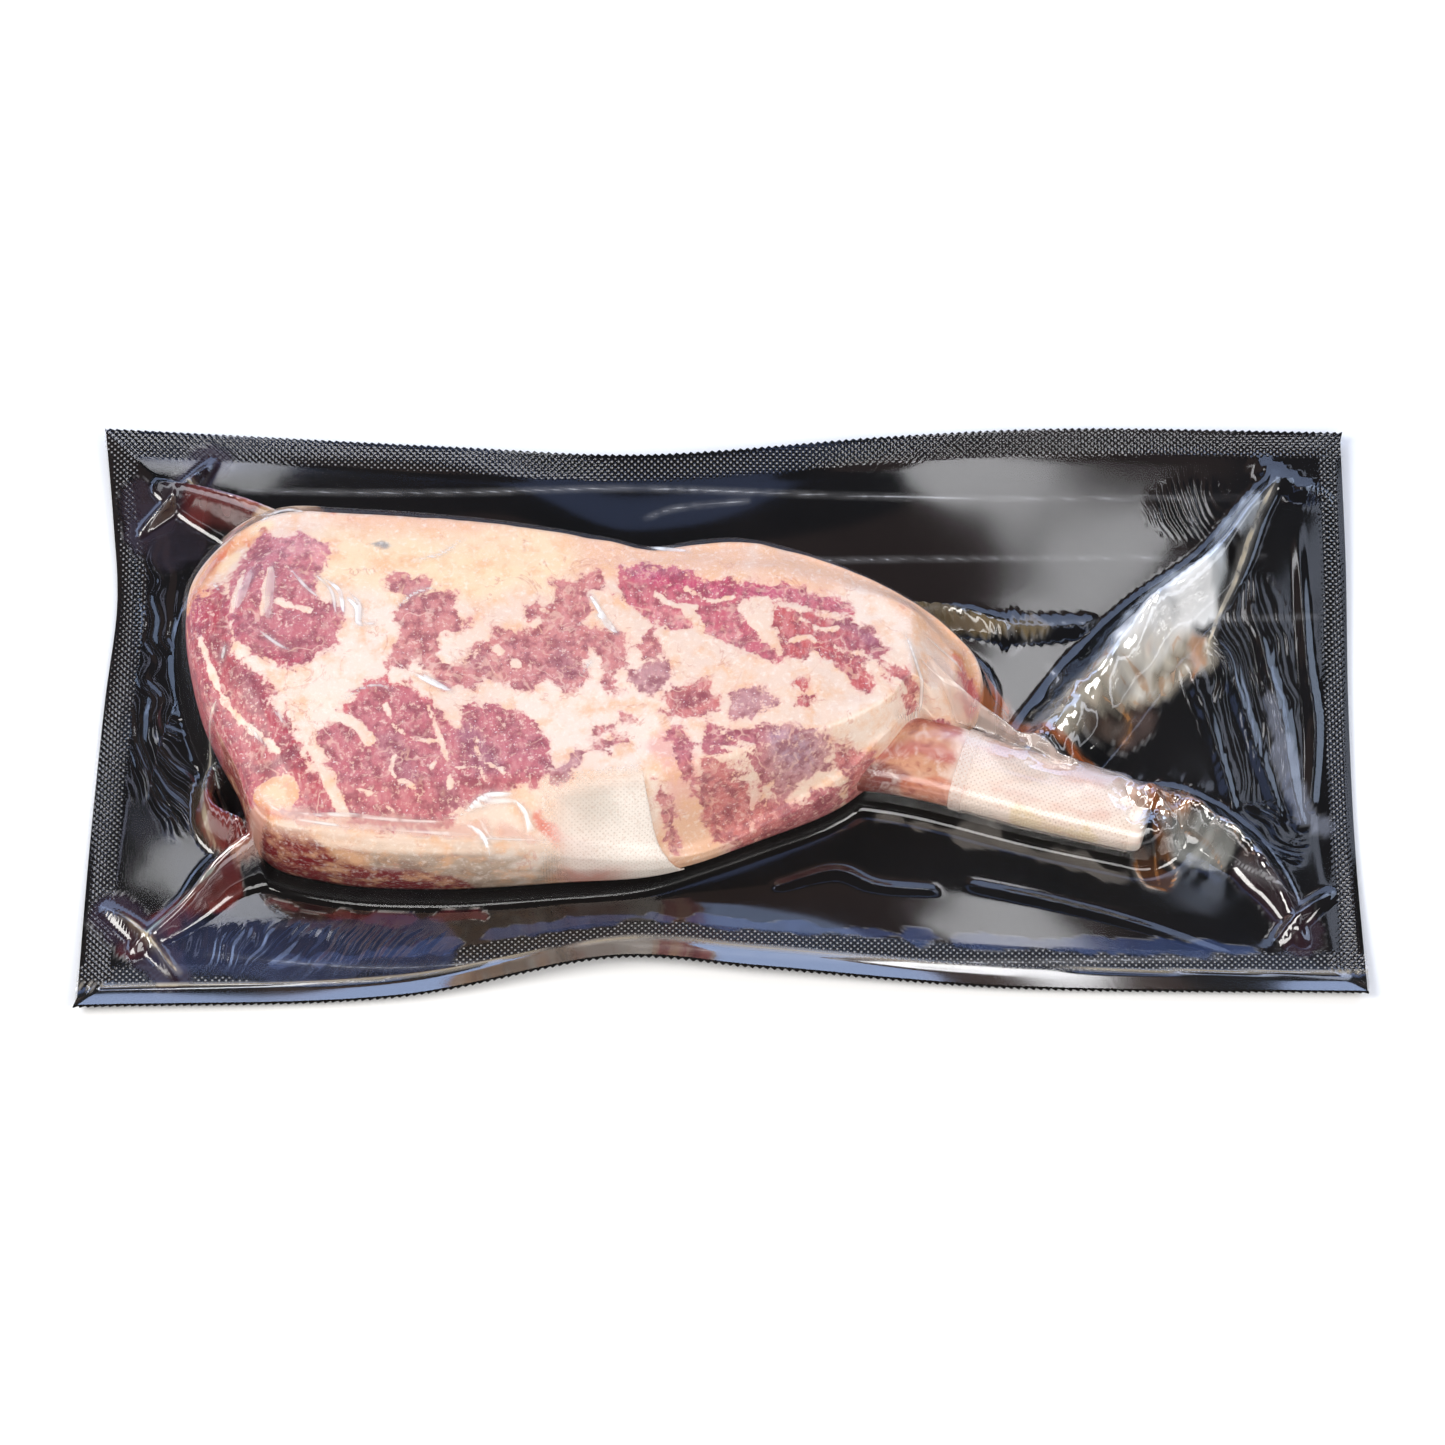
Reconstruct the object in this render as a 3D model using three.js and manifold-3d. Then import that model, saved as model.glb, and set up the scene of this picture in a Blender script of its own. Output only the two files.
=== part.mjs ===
// A raw tomahawk steak, vacuum-sealed between a black back film and a clear front film, lying flat.
// Millimetres, +Z up, +X along the pack towards the bone's tip, +Y to the pack's far edge.
// The origin is on the surface that the pack lies on, under the middle of the pack.

import * as THREE from 'three';
import Module from 'manifold-3d';

const wasm = await Module();
wasm.setup();

// Thicknesses and clearances
const gap = 0.3;
const backFilm = 1.0;
const clearFilm = 0.9;
const guardSheet = 0.9;
const bed = backFilm + gap;
const sunk = 6;
const finest = 0.06;

// Seal band round the pack, inside its edge
const sealWidth = 11;

// The four sides of the pack in anticlockwise order. edge: [x, y, lift] from corner to corner, pulled in
// and lifted where the film is gathered. foot: [x, y], the line round the contents where the film
// leaves the surface.
const packSides = [
  {
    steps: 22,
    edge: [[244.5, 126, 4], [134, 129, 2], [70, 125, 3], [-33, 115, 5], [-108, 120, 3], [-244.5, 128, 4]],
    foot: [[154, -30], [116, -8], [104, 22], [62, 46], [0, 63], [-90, 71], [-182, 77]],
  },
  {
    steps: 12,
    edge: [[-244.5, 128, 4], [-240, 88, 2], [-237, 51, 1], [-240, 6, 1], [-243, -60, 1], [-244.5, -129, 4]],
    foot: [[-182, 77], [-212, 46], [-210, 6], [-194, -40], [-177, -77]],
  },
  {
    steps: 22,
    edge: [[-244.5, -129, 4], [-122, -124, 3], [-39, -109, 7], [14, -113, 6], [105, -120, 3], [244.5, -123, 4]],
    foot: [[-177, -77], [-110, -84], [-28, -80], [34, -62], [104, -64], [166, -72]],
  },
  {
    steps: 12,
    edge: [[244.5, -123, 4], [243, -60, 1], [243, 6, 1], [244.5, 69, 2], [244.5, 126, 4]],
    foot: [[166, -72], [170, -56], [166, -40], [154, -30]],
  },
];

// Steps outwards from the foot line to the seal band, as fractions of the way
const packRings = [0, 0.22, 0.5, 0.8, 1];

// Edge of the meat: [x, y, height of its rim], anticlockwise from the lower lobe at the bone
const meatEdge = [
  [101, 5, 15], [98, 16, 21], [86, 26, 28], [69, 35, 35], [45, 45.5, 40], [26, 52, 42], [7, 56, 43],
  [-10, 55, 43], [-27, 52, 43], [-44, 55, 45], [-86, 63, 45], [-144, 69, 44], [-172, 71, 41],
  [-190, 63, 38], [-205, 42, 39], [-207, 22, 41], [-200, -12, 40], [-186, -42, 39], [-175, -68, 38],
  [-150, -77, 41], [-112, -80, 39], [-62, -77, 30], [-30, -74, 20], [-10, -68, 12], [14, -58, 15],
  [44, -44, 24], [62, -28, 31], [75, -12, 27], [87, -16, 16], [97, -8, 13],
];
const meatSteps = 74;
const meatSpine = { left: -140, right: 66, y: -4, rise: 12 };

// The meat's wall and face. reach: share of the way from the spine to the edge. rise: share of the rim.
const meatProfile = [
  { reach: 0.965, rise: 0 },
  { reach: 0.995, rise: 0.3 },
  { reach: 1, rise: 0.6 },
  { reach: 0.985, rise: 0.86 },
  { reach: 0.945, rise: 1 },
  { reach: 0.86, rise: 1 },
  { reach: 0.74, rise: 1 },
  { reach: 0.58, rise: 1 },
  { reach: 0.38, rise: 1 },
  { reach: 0.14, rise: 1 },
];
const rimRow = 4;
const faceRun = 0.3;
const face = { height: 46.5, fall: 6, fallFrom: 16, fallRun: 56, lobe: 13, lobeFrom: 70, lobeRun: 20 };
const swell = { height: 1.3, alongX: 34, alongY: 27 };

// Rib bone: the middle line of its underside, and [width, height] of its section at the same places
const ribPath = [[-24, -38], [18, -26], [50, -22], [80, -27], [120, -40], [160, -51.5]];
const ribSize = [[25, 17], [31, 20], [32, 21], [31.5, 21], [29, 20], [26.5, 18.5]];
const ribSteps = 18;
const ribSides = 16;
const ribRoundness = 2.5;
const ribEndRound = { length: 2.2, scale: 0.84 };

// Perforated guard laid over the heel of the rib: along the meat's edge and up its wall.
// low and high: shares of the way round the meat at the patch's two ends, at its foot and top.
const heelGuard = { low: [0.735, 0.806], high: [0.735, 0.784], rows: [0.6, 6.2], columns: 7, steps: 8 };

// Perforated guard folded over the tip of the rib, as shares of its length and angles from its far side
const tipGuard = { from: 0.62, angles: [-24, 204], steps: 12, rows: 7 };

// Film drawn over the bone: clearance round it, flare at its foot, length of the slope past its end
const ribFilm = { clearance: 2.6, flare: 5, past: 3, slope: 8, from: 0.3 };

// Folds of film that run from the contents to the pack's corners: [x, y, height, half-width]
const folds = {
  farLeft: [[-160, 64, 38, 15], [-186, 82, 28, 11], [-208, 94, 19, 8], [-221, 102, 8, 6]],
  farLeftEnd: [[-201, 114, 4, 4], [-213, 98, 12, 5], [-228, 82, 4, 4]],
  nearLeft: [[-166, -60, 34, 14], [-190, -72, 20, 11], [-202, -86, 14, 8], [-222, -103, 7, 6]],
  nearLeftEnd: [[-235, -86, 4, 4], [-220, -99, 10, 5], [-207, -117, 4, 4]],
  nearLeftFin: [[-193, -18, 6, 4], [-197, -36, 16, 7], [-195, -50, 22, 8], [-184, -60, 28, 9]],
  farRight: [[120, -26, 20, 20], [146, 10, 22, 20], [168, 38, 27, 16], [192, 62, 24, 12], [208, 90, 13, 8],
    [220, 108, 5, 6]],
  farRightEnd: [[210, 114, 4, 4], [221, 104, 8, 5], [239, 96, 4, 4]],
  nearRight: [[150, -44, 18, 15], [176, -46, 17, 13], [197, -60, 16, 11], [212, -80, 10, 8],
    [220, -100, 4, 6]],
  nearRightEnd: [[231, -80, 4, 4], [218, -92, 9, 5], [208, -104, 4, 4]],
  farSide: [[66, 34, 30, 7], [90, 42, 14, 6], [112, 38, 7, 5], [142, 39, 3, 4]],
};
const foldSection = [[-1, 0], [-0.55, 0.32], [-0.22, 0.84], [0, 1], [0.22, 0.84], [0.55, 0.32], [1, 0]];
const foldSteps = 2;

// Colours
const backFilmLook = { color: '#0e0f12', roughness: 0.22, metalness: 0 };
const clearFilmLook = { color: '#ece7df', roughness: 0.12, metalness: 0, transparent: true, opacity: 0.35 };
const meatLook = { color: '#a85a62', roughness: 0.45, metalness: 0 };
const boneLook = { color: '#e6cfc2', roughness: 0.55, metalness: 0 };
const guardLook = { color: '#d8d4cc', roughness: 0.7, metalness: 0 };

// Plain helpers
const lerp = THREE.MathUtils.lerp;
const vector = ([x, y, z = 0]) => new THREE.Vector3(x, y, z);
const smooth = (value) => THREE.MathUtils.smoothstep(value, 0, 1);

// Value at a share of the way along a list of evenly spaced entries
function along(list, share) {
  const place = THREE.MathUtils.clamp(share, 0, 1) * (list.length - 1);
  const index = Math.min(Math.floor(place), list.length - 2);
  return list[index].map((value, k) => lerp(value, list[index + 1][k], place - index));
}

// Triangles over a ring that is long along X, as indices into the ring: a zip between its far and near side
function ringFaces(ring) {
  const count = ring.length;
  const xs = ring.map((point) => point.x);
  const right = xs.indexOf(Math.max(...xs));
  const left = xs.indexOf(Math.min(...xs));
  const faces = [];
  let far = right;
  let near = (right + count - 1) % count;
  while (far !== left || near !== left) {
    const nextFar = (far + 1) % count;
    const nextNear = (near + count - 1) % count;
    if (near === left || (far !== left && xs[nextFar] >= xs[nextNear])) {
      if (nextFar !== near) faces.push([far, nextFar, near]);
      far = nextFar;
    } else {
      if (nextNear !== far) faces.push([far, nextNear, near]);
      near = nextNear;
    }
  }
  return faces;
}

function solidFrom(points, faces) {
  let volume = 0;
  for (const [a, b, c] of faces) {
    volume += points[a].dot(new THREE.Vector3().crossVectors(points[b], points[c]));
  }
  const turned = volume < 0 ? faces.map(([a, b, c]) => [a, c, b]) : faces;
  const vertProperties = new Float32Array(points.flatMap((p) => [p.x, p.y, p.z]));
  const triVerts = new Uint32Array(turned.flat());
  return new wasm.Manifold(new wasm.Mesh({ numProp: 3, vertProperties, triVerts }));
}

// Closed solid through a stack of rings with equal counts, with faces over the first and last ring
function loft(rings, firstFaces, lastFaces) {
  const count = rings[0].length;
  const faces = firstFaces.map(([a, b, c]) => [a, c, b]);
  for (let k = 0; k + 1 < rings.length; k += 1) {
    for (let i = 0; i < count; i += 1) {
      const a = k * count + i;
      const b = k * count + ((i + 1) % count);
      faces.push([a, b, b + count], [a, b + count, a + count]);
    }
  }
  const last = (rings.length - 1) * count;
  faces.push(...lastFaces.map((tri) => tri.map((index) => index + last)));
  return solidFrom(rings.flat(), faces);
}

// Closed sheet between two grids of points, each a list of rows
function sheet(inner, outer) {
  const rows = inner.length;
  const columns = inner[0].length;
  const points = [...inner.flat(), ...outer.flat()];
  const shift = rows * columns;
  const faces = [];
  for (let r = 0; r + 1 < rows; r += 1) {
    for (let c = 0; c + 1 < columns; c += 1) {
      const a = r * columns + c;
      const b = a + columns;
      faces.push([a, a + 1, b + 1], [a, b + 1, b]);
      faces.push([a + shift, b + 1 + shift, a + 1 + shift], [a + shift, b + shift, b + 1 + shift]);
    }
  }
  const border = [];
  for (let c = 0; c < columns; c += 1) border.push(c);
  for (let r = 1; r < rows; r += 1) border.push(r * columns + columns - 1);
  for (let c = columns - 2; c >= 0; c -= 1) border.push((rows - 1) * columns + c);
  for (let r = rows - 2; r > 0; r -= 1) border.push(r * columns);
  border.forEach((a, k) => {
    const b = border[(k + 1) % border.length];
    faces.push([a, a + shift, b + shift], [a, b + shift, b]);
  });
  return solidFrom(points, faces);
}

function joined(solids) {
  return solids.reduce((all, solid) => all.add(solid));
}

// The largest of a solid's separate bodies, without the loose scraps and slivers that a cut leaves
function largest(solid) {
  return solid.decompose().sort((a, b) => b.volume() - a.volume())[0].asOriginal().simplify(finest);
}

// Pack: from the foot line to the seal band and the edge, lifted towards the edge
function packSlab(low, high) {
  const stations = packSides.flatMap(({ edge, foot, steps }) => {
    const edgePoints = new THREE.CatmullRomCurve3(edge.map(vector)).getSpacedPoints(steps);
    const footPoints = new THREE.CatmullRomCurve3(foot.map(vector)).getSpacedPoints(steps);
    return edgePoints.slice(0, steps).map((rim, k) => ({ rim, foot: footPoints[k] }));
  });
  const ring = (share, level) => stations.map(({ rim, foot }) => {
    const run = Math.hypot(rim.x - foot.x, rim.y - foot.y);
    const reach = share > 1 ? 1 : share * (1 - sealWidth / run);
    const lift = rim.z * reach ** 2;
    return new THREE.Vector3(lerp(foot.x, rim.x, reach), lerp(foot.y, rim.y, reach), level + lift);
  });
  const shares = [...packRings, 2];
  const under = shares.map((share) => ring(share, low));
  const over = shares.map((share) => ring(share, high)).reverse();
  const middle = ringFaces(under[0]);
  return loft([...under, ...over], middle, middle);
}

// Meat: a wall that rises from the bed to the rim, and a face that swells gently inside it
const meatCurve = new THREE.CatmullRomCurve3(meatEdge.map(vector), true);

function meatFaceHeight(x, y) {
  const fall = face.fall * smooth((x - face.fallFrom) / face.fallRun);
  const lobe = face.lobe * smooth((x - face.lobeFrom) / face.lobeRun);
  return face.height - fall - lobe + swell.height * Math.sin(x / swell.alongX) * Math.cos(y / swell.alongY);
}

function meatPoint(round, row) {
  const edge = meatCurve.getPointAt(round - Math.floor(round));
  const heartX = THREE.MathUtils.clamp(edge.x, meatSpine.left, meatSpine.right);
  const heartY = meatSpine.y + meatSpine.rise * smooth(heartX / meatSpine.right);
  const index = Math.min(Math.floor(row), meatProfile.length - 2);
  const reach = lerp(meatProfile[index].reach, meatProfile[index + 1].reach, row - index);
  const rise = lerp(meatProfile[index].rise, meatProfile[index + 1].rise, row - index);
  const x = lerp(heartX, edge.x, reach);
  const y = lerp(heartY, edge.y, reach);
  const blend = smooth((meatProfile[rimRow].reach - reach) / faceRun);
  const wallTop = lerp(edge.z, meatFaceHeight(x, y), row > rimRow ? blend : 0);
  return new THREE.Vector3(x, y, bed + (wallTop - bed) * rise);
}

function meatOffset(round, row, distance) {
  const step = 0.02;
  const next = Math.min(row + step, meatProfile.length - 1);
  const back = Math.max(row - step, 0);
  const aside = meatPoint(round + step / meatSteps, row).sub(meatPoint(round - step / meatSteps, row));
  const inward = meatPoint(round, next).sub(meatPoint(round, back));
  return meatPoint(round, row).addScaledVector(aside.cross(inward).normalize(), distance);
}

function meatSolid(grow) {
  const rings = meatProfile.map((_, row) => Array.from({ length: meatSteps }, (__, k) => {
    const point = meatOffset(k / meatSteps, row, grow);
    if (row === 0) point.z = bed - grow;
    return point;
  }));
  return loft(rings, ringFaces(rings[0]), ringFaces(rings[rings.length - 1]));
}

// Rib: rounded sections carried along its middle line
const ribCurve = new THREE.CatmullRomCurve3(ribPath.map(vector));

function ribFrame(share) {
  const direction = ribCurve.getTangentAt(Math.min(share, 1));
  const middle = ribCurve.getPointAt(Math.min(share, 1));
  const beyond = Math.max(share - 1, 0) * ribCurve.getLength();
  return {
    middle: middle.addScaledVector(direction, beyond),
    aside: new THREE.Vector3(-direction.y, direction.x, 0),
    size: along(ribSize, share),
  };
}

// Point on the rib's skin, or a distance off it. Angle 0 is its far side and 90 degrees its top.
function ribPoint(share, angle, grow, scale = 1) {
  const { middle, aside, size: [width, height] } = ribFrame(share);
  const turn = THREE.MathUtils.degToRad(angle);
  const power = 2 / ribRoundness;
  const across = Math.sign(Math.cos(turn)) * Math.abs(Math.cos(turn)) ** power;
  const up = Math.sign(Math.sin(turn)) * Math.abs(Math.sin(turn)) ** power;
  const point = middle.clone().addScaledVector(aside, across * (width / 2 + grow) * scale);
  point.z = bed + height / 2 + up * (height / 2 + grow) * scale;
  return point;
}

function ribSolid(grow) {
  const endShare = ribEndRound.length / ribCurve.getLength();
  const growShare = grow / ribCurve.getLength();
  const angles = Array.from({ length: ribSides }, (_, k) => (360 * k) / ribSides);
  const ring = (share, scale) => angles.map((angle) => ribPoint(share, angle, grow, scale));
  const shares = Array.from({ length: ribSteps + 1 }, (_, k) => lerp(0, 1 - endShare, k / ribSteps));
  const rings = shares.map((share) => ring(share, 1));
  rings.push(ring(1 + growShare, ribEndRound.scale));
  const faces = angles.slice(2).map((_, k) => [0, k + 1, k + 2]);
  return loft(rings, faces, faces);
}

// Film over the rib: its rounded top, with sides that flare to the bed and a slope past its end
function ribFilmSolid() {
  const length = ribCurve.getLength();
  const topAngles = Array.from({ length: 11 }, (_, k) => 18 * k);
  const ring = (share, scale) => {
    const arch = topAngles.map((angle) => ribPoint(share, angle, ribFilm.clearance));
    const { middle, aside, size: [width] } = ribFrame(share);
    const foot = width / 2 + ribFilm.clearance + ribFilm.flare;
    const left = middle.clone().addScaledVector(aside, foot);
    const right = middle.clone().addScaledVector(aside, -foot);
    return [left, ...arch, right].map((p) => p.setZ(Math.max(p.z * scale, p.z > 0 ? bed : 0)));
  };
  const shares = Array.from({ length: ribSteps / 2 + 1 }, (_, k) => lerp(ribFilm.from, 1, (2 * k) / ribSteps));
  const rings = shares.map((share) => ring(share, 1));
  rings.push(ring(1 + ribFilm.past / length, 1));
  rings.push(ring(1 + (ribFilm.past + ribFilm.slope) / length, 0.3));
  const faces = rings[0].slice(2).map((_, k) => [0, k + 1, k + 2]);
  return loft(rings, faces, faces);
}

// Guards: sheets that follow the meat's wall and the rib's tip
function heelGuardSolid(under, over, spread) {
  const { low, high, rows, columns, steps } = heelGuard;
  const grid = (distance) => Array.from({ length: steps + 1 }, (_, r) => {
    const up = r / steps;
    const row = lerp(rows[0] - spread * 0.1, rows[1] + spread * 0.1, up);
    const from = lerp(low[0], high[0], up) - spread / 1000;
    const to = lerp(low[1], high[1], up) + spread / 1000;
    return Array.from({ length: columns + 1 }, (__, c) => meatOffset(lerp(from, to, c / columns), row, distance));
  });
  return sheet(grid(under), grid(over));
}

function tipGuardSolid(under, over, spread) {
  const { from, angles, steps, rows } = tipGuard;
  const spreadShare = spread / ribCurve.getLength();
  const to = 1 - ribEndRound.length / ribCurve.getLength();
  const grid = (distance) => Array.from({ length: rows + 1 }, (_, r) => {
    const share = lerp(from - spreadShare, to + spreadShare, r / rows);
    return Array.from({ length: steps + 1 }, (__, c) => {
      const angle = lerp(angles[0] - 2 * spread, angles[1] + 2 * spread, c / steps);
      return ribPoint(share, angle, distance);
    });
  });
  return sheet(grid(under), grid(over));
}

// A fold of film: a tent-shaped section carried along its ridge, sunk below the bed
function foldSolid(ridge) {
  const curve = new THREE.CatmullRomCurve3(ridge.map(vector));
  const count = (ridge.length - 1) * foldSteps;
  const rings = Array.from({ length: count + 1 }, (_, k) => {
    const share = k / count;
    const crest = curve.getPoint(share);
    const direction = curve.getTangent(share).setZ(0).normalize();
    const aside = new THREE.Vector3(-direction.y, direction.x, 0);
    const halfWidth = along(ridge, share)[3];
    const tent = foldSection.map(([across, up]) => {
      const point = crest.clone().addScaledVector(aside, -across * halfWidth);
      return point.setZ(lerp(-sunk / 2, crest.z, up));
    });
    return tent;
  });
  const faces = foldSection.slice(2).map((_, k) => [0, k + 1, k + 2]);
  return loft(rings, faces, faces);
}

// The solids
const meatRoom = meatSolid(gap);
const ribRoom = ribSolid(gap);
const heelGuardRoom = heelGuardSolid(-gap, 2 * gap + guardSheet, gap);
const tipGuardRoom = tipGuardSolid(0, 2 * gap + guardSheet, gap);

const backSolid = packSlab(0, backFilm);
const ribBone = ribSolid(0);
const meat = largest(meatSolid(0).subtract(ribRoom));
const heel = largest(heelGuardSolid(-gap, gap + guardSheet, 0).subtract(meatRoom));
const tip = largest(tipGuardSolid(gap, gap + guardSheet, 0).subtract(meatRoom));

const drawnOver = joined([
  packSlab(backFilm, bed + clearFilm),
  meatSolid(gap + clearFilm),
  heelGuardSolid(0, 2 * gap + guardSheet + clearFilm, 2),
  ribFilmSolid(),
  ...Object.values(folds).map(foldSolid),
]);
const clearSolid = largest(
  drawnOver
    .subtract(packSlab(-4 * sunk, bed))
    .subtract(meatRoom)
    .subtract(ribRoom)
    .subtract(heelGuardRoom)
    .subtract(tipGuardRoom),
);

function node(name, solid, look) {
  const { vertProperties, triVerts, numProp } = solid.getMesh();
  const positions = Array.from({ length: vertProperties.length / numProp }, (_, k) => (
    Array.from(vertProperties.slice(k * numProp, k * numProp + 3))
  ));
  const geometry = new THREE.BufferGeometry();
  geometry.setAttribute('position', new THREE.Float32BufferAttribute(positions.flat(), 3));
  geometry.setIndex(Array.from(triVerts));
  geometry.computeVertexNormals();
  const mesh = new THREE.Mesh(geometry, new THREE.MeshStandardMaterial(look));
  mesh.name = name;
  return mesh;
}

const steak = new THREE.Group();
steak.add(node('back_film', backSolid, backFilmLook));
steak.add(node('meat', meat, meatLook));
steak.add(node('rib_bone', ribBone, boneLook));
steak.add(node('bone_guard_heel', heel, guardLook));
steak.add(node('bone_guard_tip', tip, guardLook));
steak.add(node('clear_film', clearSolid, clearFilmLook));

export default steak;
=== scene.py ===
import math

import bpy
import bmesh
import numpy as np
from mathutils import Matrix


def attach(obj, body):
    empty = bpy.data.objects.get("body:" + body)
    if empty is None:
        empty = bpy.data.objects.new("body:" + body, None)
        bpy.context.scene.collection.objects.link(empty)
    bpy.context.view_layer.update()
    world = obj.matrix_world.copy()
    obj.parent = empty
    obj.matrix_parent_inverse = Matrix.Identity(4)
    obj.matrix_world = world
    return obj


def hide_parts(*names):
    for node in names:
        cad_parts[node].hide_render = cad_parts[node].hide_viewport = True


# A raw tomahawk steak in a vacuum pack: black back film, clear front film, rib bone with two cloth guards.
# Lengths are millimetres until a mesh is written, which turns them into metres.

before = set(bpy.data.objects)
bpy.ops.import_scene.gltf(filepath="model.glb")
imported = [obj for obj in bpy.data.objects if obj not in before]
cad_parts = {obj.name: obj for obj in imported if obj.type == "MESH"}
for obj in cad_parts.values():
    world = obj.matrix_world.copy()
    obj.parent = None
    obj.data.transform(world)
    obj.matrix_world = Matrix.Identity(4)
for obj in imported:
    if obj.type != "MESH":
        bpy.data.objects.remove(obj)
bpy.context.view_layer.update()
metre = 0.001
print("frame loaded")


# Colours

def linear(code):
    # A colour code such as b5666f as linear red, green and blue: the sRGB curve undone channel by channel.
    channels = np.array([int(code[k:k + 2], 16) / 255 for k in (0, 2, 4)])
    return np.where(channels <= 0.04045, channels / 12.92, ((channels + 0.055) / 1.055) ** 2.4)


def rgba(code):
    # The same as linear, with full cover as a fourth number.
    return (*linear(code), 1.0)


# Curves and fields

def smooth(value):
    # Rises from 0 to 1 as 3t^2 - 2t^3.
    t = np.clip(value, 0, 1)
    return t * t * (3 - 2 * t)


def between(low, high, share):
    # Straight blend: low at share 0, high at share 1.
    return low + (high - low) * share


def smoothPath(points, closed=False, perSpan=20):
    # Centripetal Catmull-Rom curve: each span is a cubic whose slopes come from its neighbours, with knots
    # spaced by the square root of the distance between points. Further columns ride along with the place.
    p = np.array(points, float)
    if closed:
        q = np.vstack([p[-1:], p, p[:2]])
    else:
        q = np.vstack([2 * p[:1] - p[1:2], p, 2 * p[-1:] - p[-2:-1]])
    p0, p1, p2, p3 = q[:-3], q[1:-2], q[2:-1], q[3:]
    places = min(3, p.shape[1])
    d0, d1, d2 = [
        np.maximum(np.linalg.norm((b - a)[:, :places], axis=1, keepdims=True) ** 0.5, 1e-3)
        for a, b in ((p0, p1), (p1, p2), (p2, p3))
    ]
    m1 = ((p1 - p0) / d0 - (p2 - p0) / (d0 + d1) + (p2 - p1) / d1) * d1
    m2 = ((p2 - p1) / d1 - (p3 - p1) / (d1 + d2) + (p3 - p2) / d2) * d1
    t = (np.arange(perSpan) / perSpan)[None, :, None]
    curve = (
        (2 * t ** 3 - 3 * t ** 2 + 1) * p1[:, None]
        + (t ** 3 - 2 * t ** 2 + t) * m1[:, None]
        + (3 * t ** 2 - 2 * t ** 3) * p2[:, None]
        + (t ** 3 - t ** 2) * m2[:, None]
    )
    flat = curve.reshape(-1, p.shape[1])
    return np.vstack([flat, flat[:1] if closed else p[-1:]])


def lengthsOf(path):
    # Distance gone at each point of a path, in plan.
    return np.concatenate([[0], np.cumsum(np.linalg.norm(np.diff(path[:, :2], axis=0), axis=1))])


def atShare(path, share):
    # Points of a path at shares of its length.
    gone = lengthsOf(path)
    where = np.asarray(share) * gone[-1]
    return np.stack([np.interp(where, gone, path[:, k]) for k in range(path.shape[1])], axis=-1)


def latticeNoise(x, y, size, seed):
    # Smooth random field from -1 to 1: random values on a square lattice, blended by the smooth curve.
    values = np.random.default_rng(seed).uniform(-1, 1, (64, 64))
    u, v = x / size + 31.7, y / size + 17.3
    i, j = np.floor(u).astype(int), np.floor(v).astype(int)
    fu, fv = smooth(u - i), smooth(v - j)
    near = between(values[i % 64, j % 64], values[(i + 1) % 64, j % 64], fu)
    far = between(values[i % 64, (j + 1) % 64], values[(i + 1) % 64, (j + 1) % 64], fu)
    return between(near, far, fv)


def creasedNoise(x, y, size, seed):
    # Crumpled field from 0 to 1: triangle waves in five directions, each bent by a smooth field.
    turns = 5
    draw = np.random.default_rng(seed)
    total = np.zeros_like(x)
    for k in range(turns):
        angle = math.pi * (k + draw.uniform(0, 0.7)) / turns
        length = size * draw.uniform(0.8, 1.7)
        lane = (x * math.cos(angle) + y * math.sin(angle)) / length
        lane = lane + 0.45 * latticeNoise(x, y, size * 2.2, seed + 7 + k) + draw.uniform(0, 1)
        total += np.abs(2 * (lane - np.floor(lane)) - 1)
    return total / turns


def towards(x, y, path):
    # Distance to a path of short chords, the share of the path gone at the nearest place, and the side, which
    # is positive to the left of the path.
    start, step = path[:-1, :2], np.diff(path[:, :2], axis=0)
    gone = lengthsOf(path)
    best = np.full(x.shape, 1e9)
    share = np.zeros(x.shape)
    side = np.ones(x.shape)
    for (sx, sy), (dx, dy), g0, g1 in zip(start, step, gone[:-1], gone[1:]):
        t = np.clip(((x - sx) * dx + (y - sy) * dy) / max(dx * dx + dy * dy, 1e-9), 0, 1)
        ox, oy = x - sx - t * dx, y - sy - t * dy
        distance = np.hypot(ox, oy)
        closer = distance < best
        best = np.where(closer, distance, best)
        share = np.where(closer, (g0 + t * (g1 - g0)) / gone[-1], share)
        side = np.where(closer, np.sign(dx * oy - dy * ox), side)
    return best, share, side


def smoothMax(a, b, width):
    # The larger of two fields with a rounded valley between them, width wide.
    h = np.clip(0.5 + 0.5 * (a - b) / width, 0, 1)
    return between(b, a, h) + width * h * (1 - h)


def nearPath(x, y, path, margin):
    # Which places lie less than a margin outside the box round a path.
    corners = np.array(path)
    low, high = corners.min(0) - margin, corners.max(0) + margin
    return (x > low[0]) & (x < high[0]) & (y > low[1]) & (y < high[1])


def tinted(colour, code, share):
    # A colour code laid over a colour by a share at each place.
    return between(colour, linear(code), share[..., None])


def withPatches(colour, x, y, patches, reach, fade, wobble):
    # Patches laid over a colour in turn. Each is full near its path, ends at its radius times reach, moved by
    # the wobble, and fades out over its radius times fade. A patch is a code, cover, radius and path.
    for code, cover, radius, path in patches:
        distance, _, _ = towards(x, y, smoothPath(path, perSpan=5))
        colour = tinted(colour, code, cover * smooth((reach * radius - distance + wobble) / (fade * radius)))
    return colour


# Mesh writing

def gridFaces(rows, columns, wrap):
    # Four-sided faces of a grid of points, row after row; the last column joins the first where it wraps.
    r, c = np.meshgrid(np.arange(rows - 1), np.arange(columns if wrap else columns - 1), indexing="ij")
    a = r * columns + c
    b = r * columns + (c + 1) % columns
    return np.stack([a, b, b + columns, a + columns], axis=-1).reshape(-1, 4)


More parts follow.
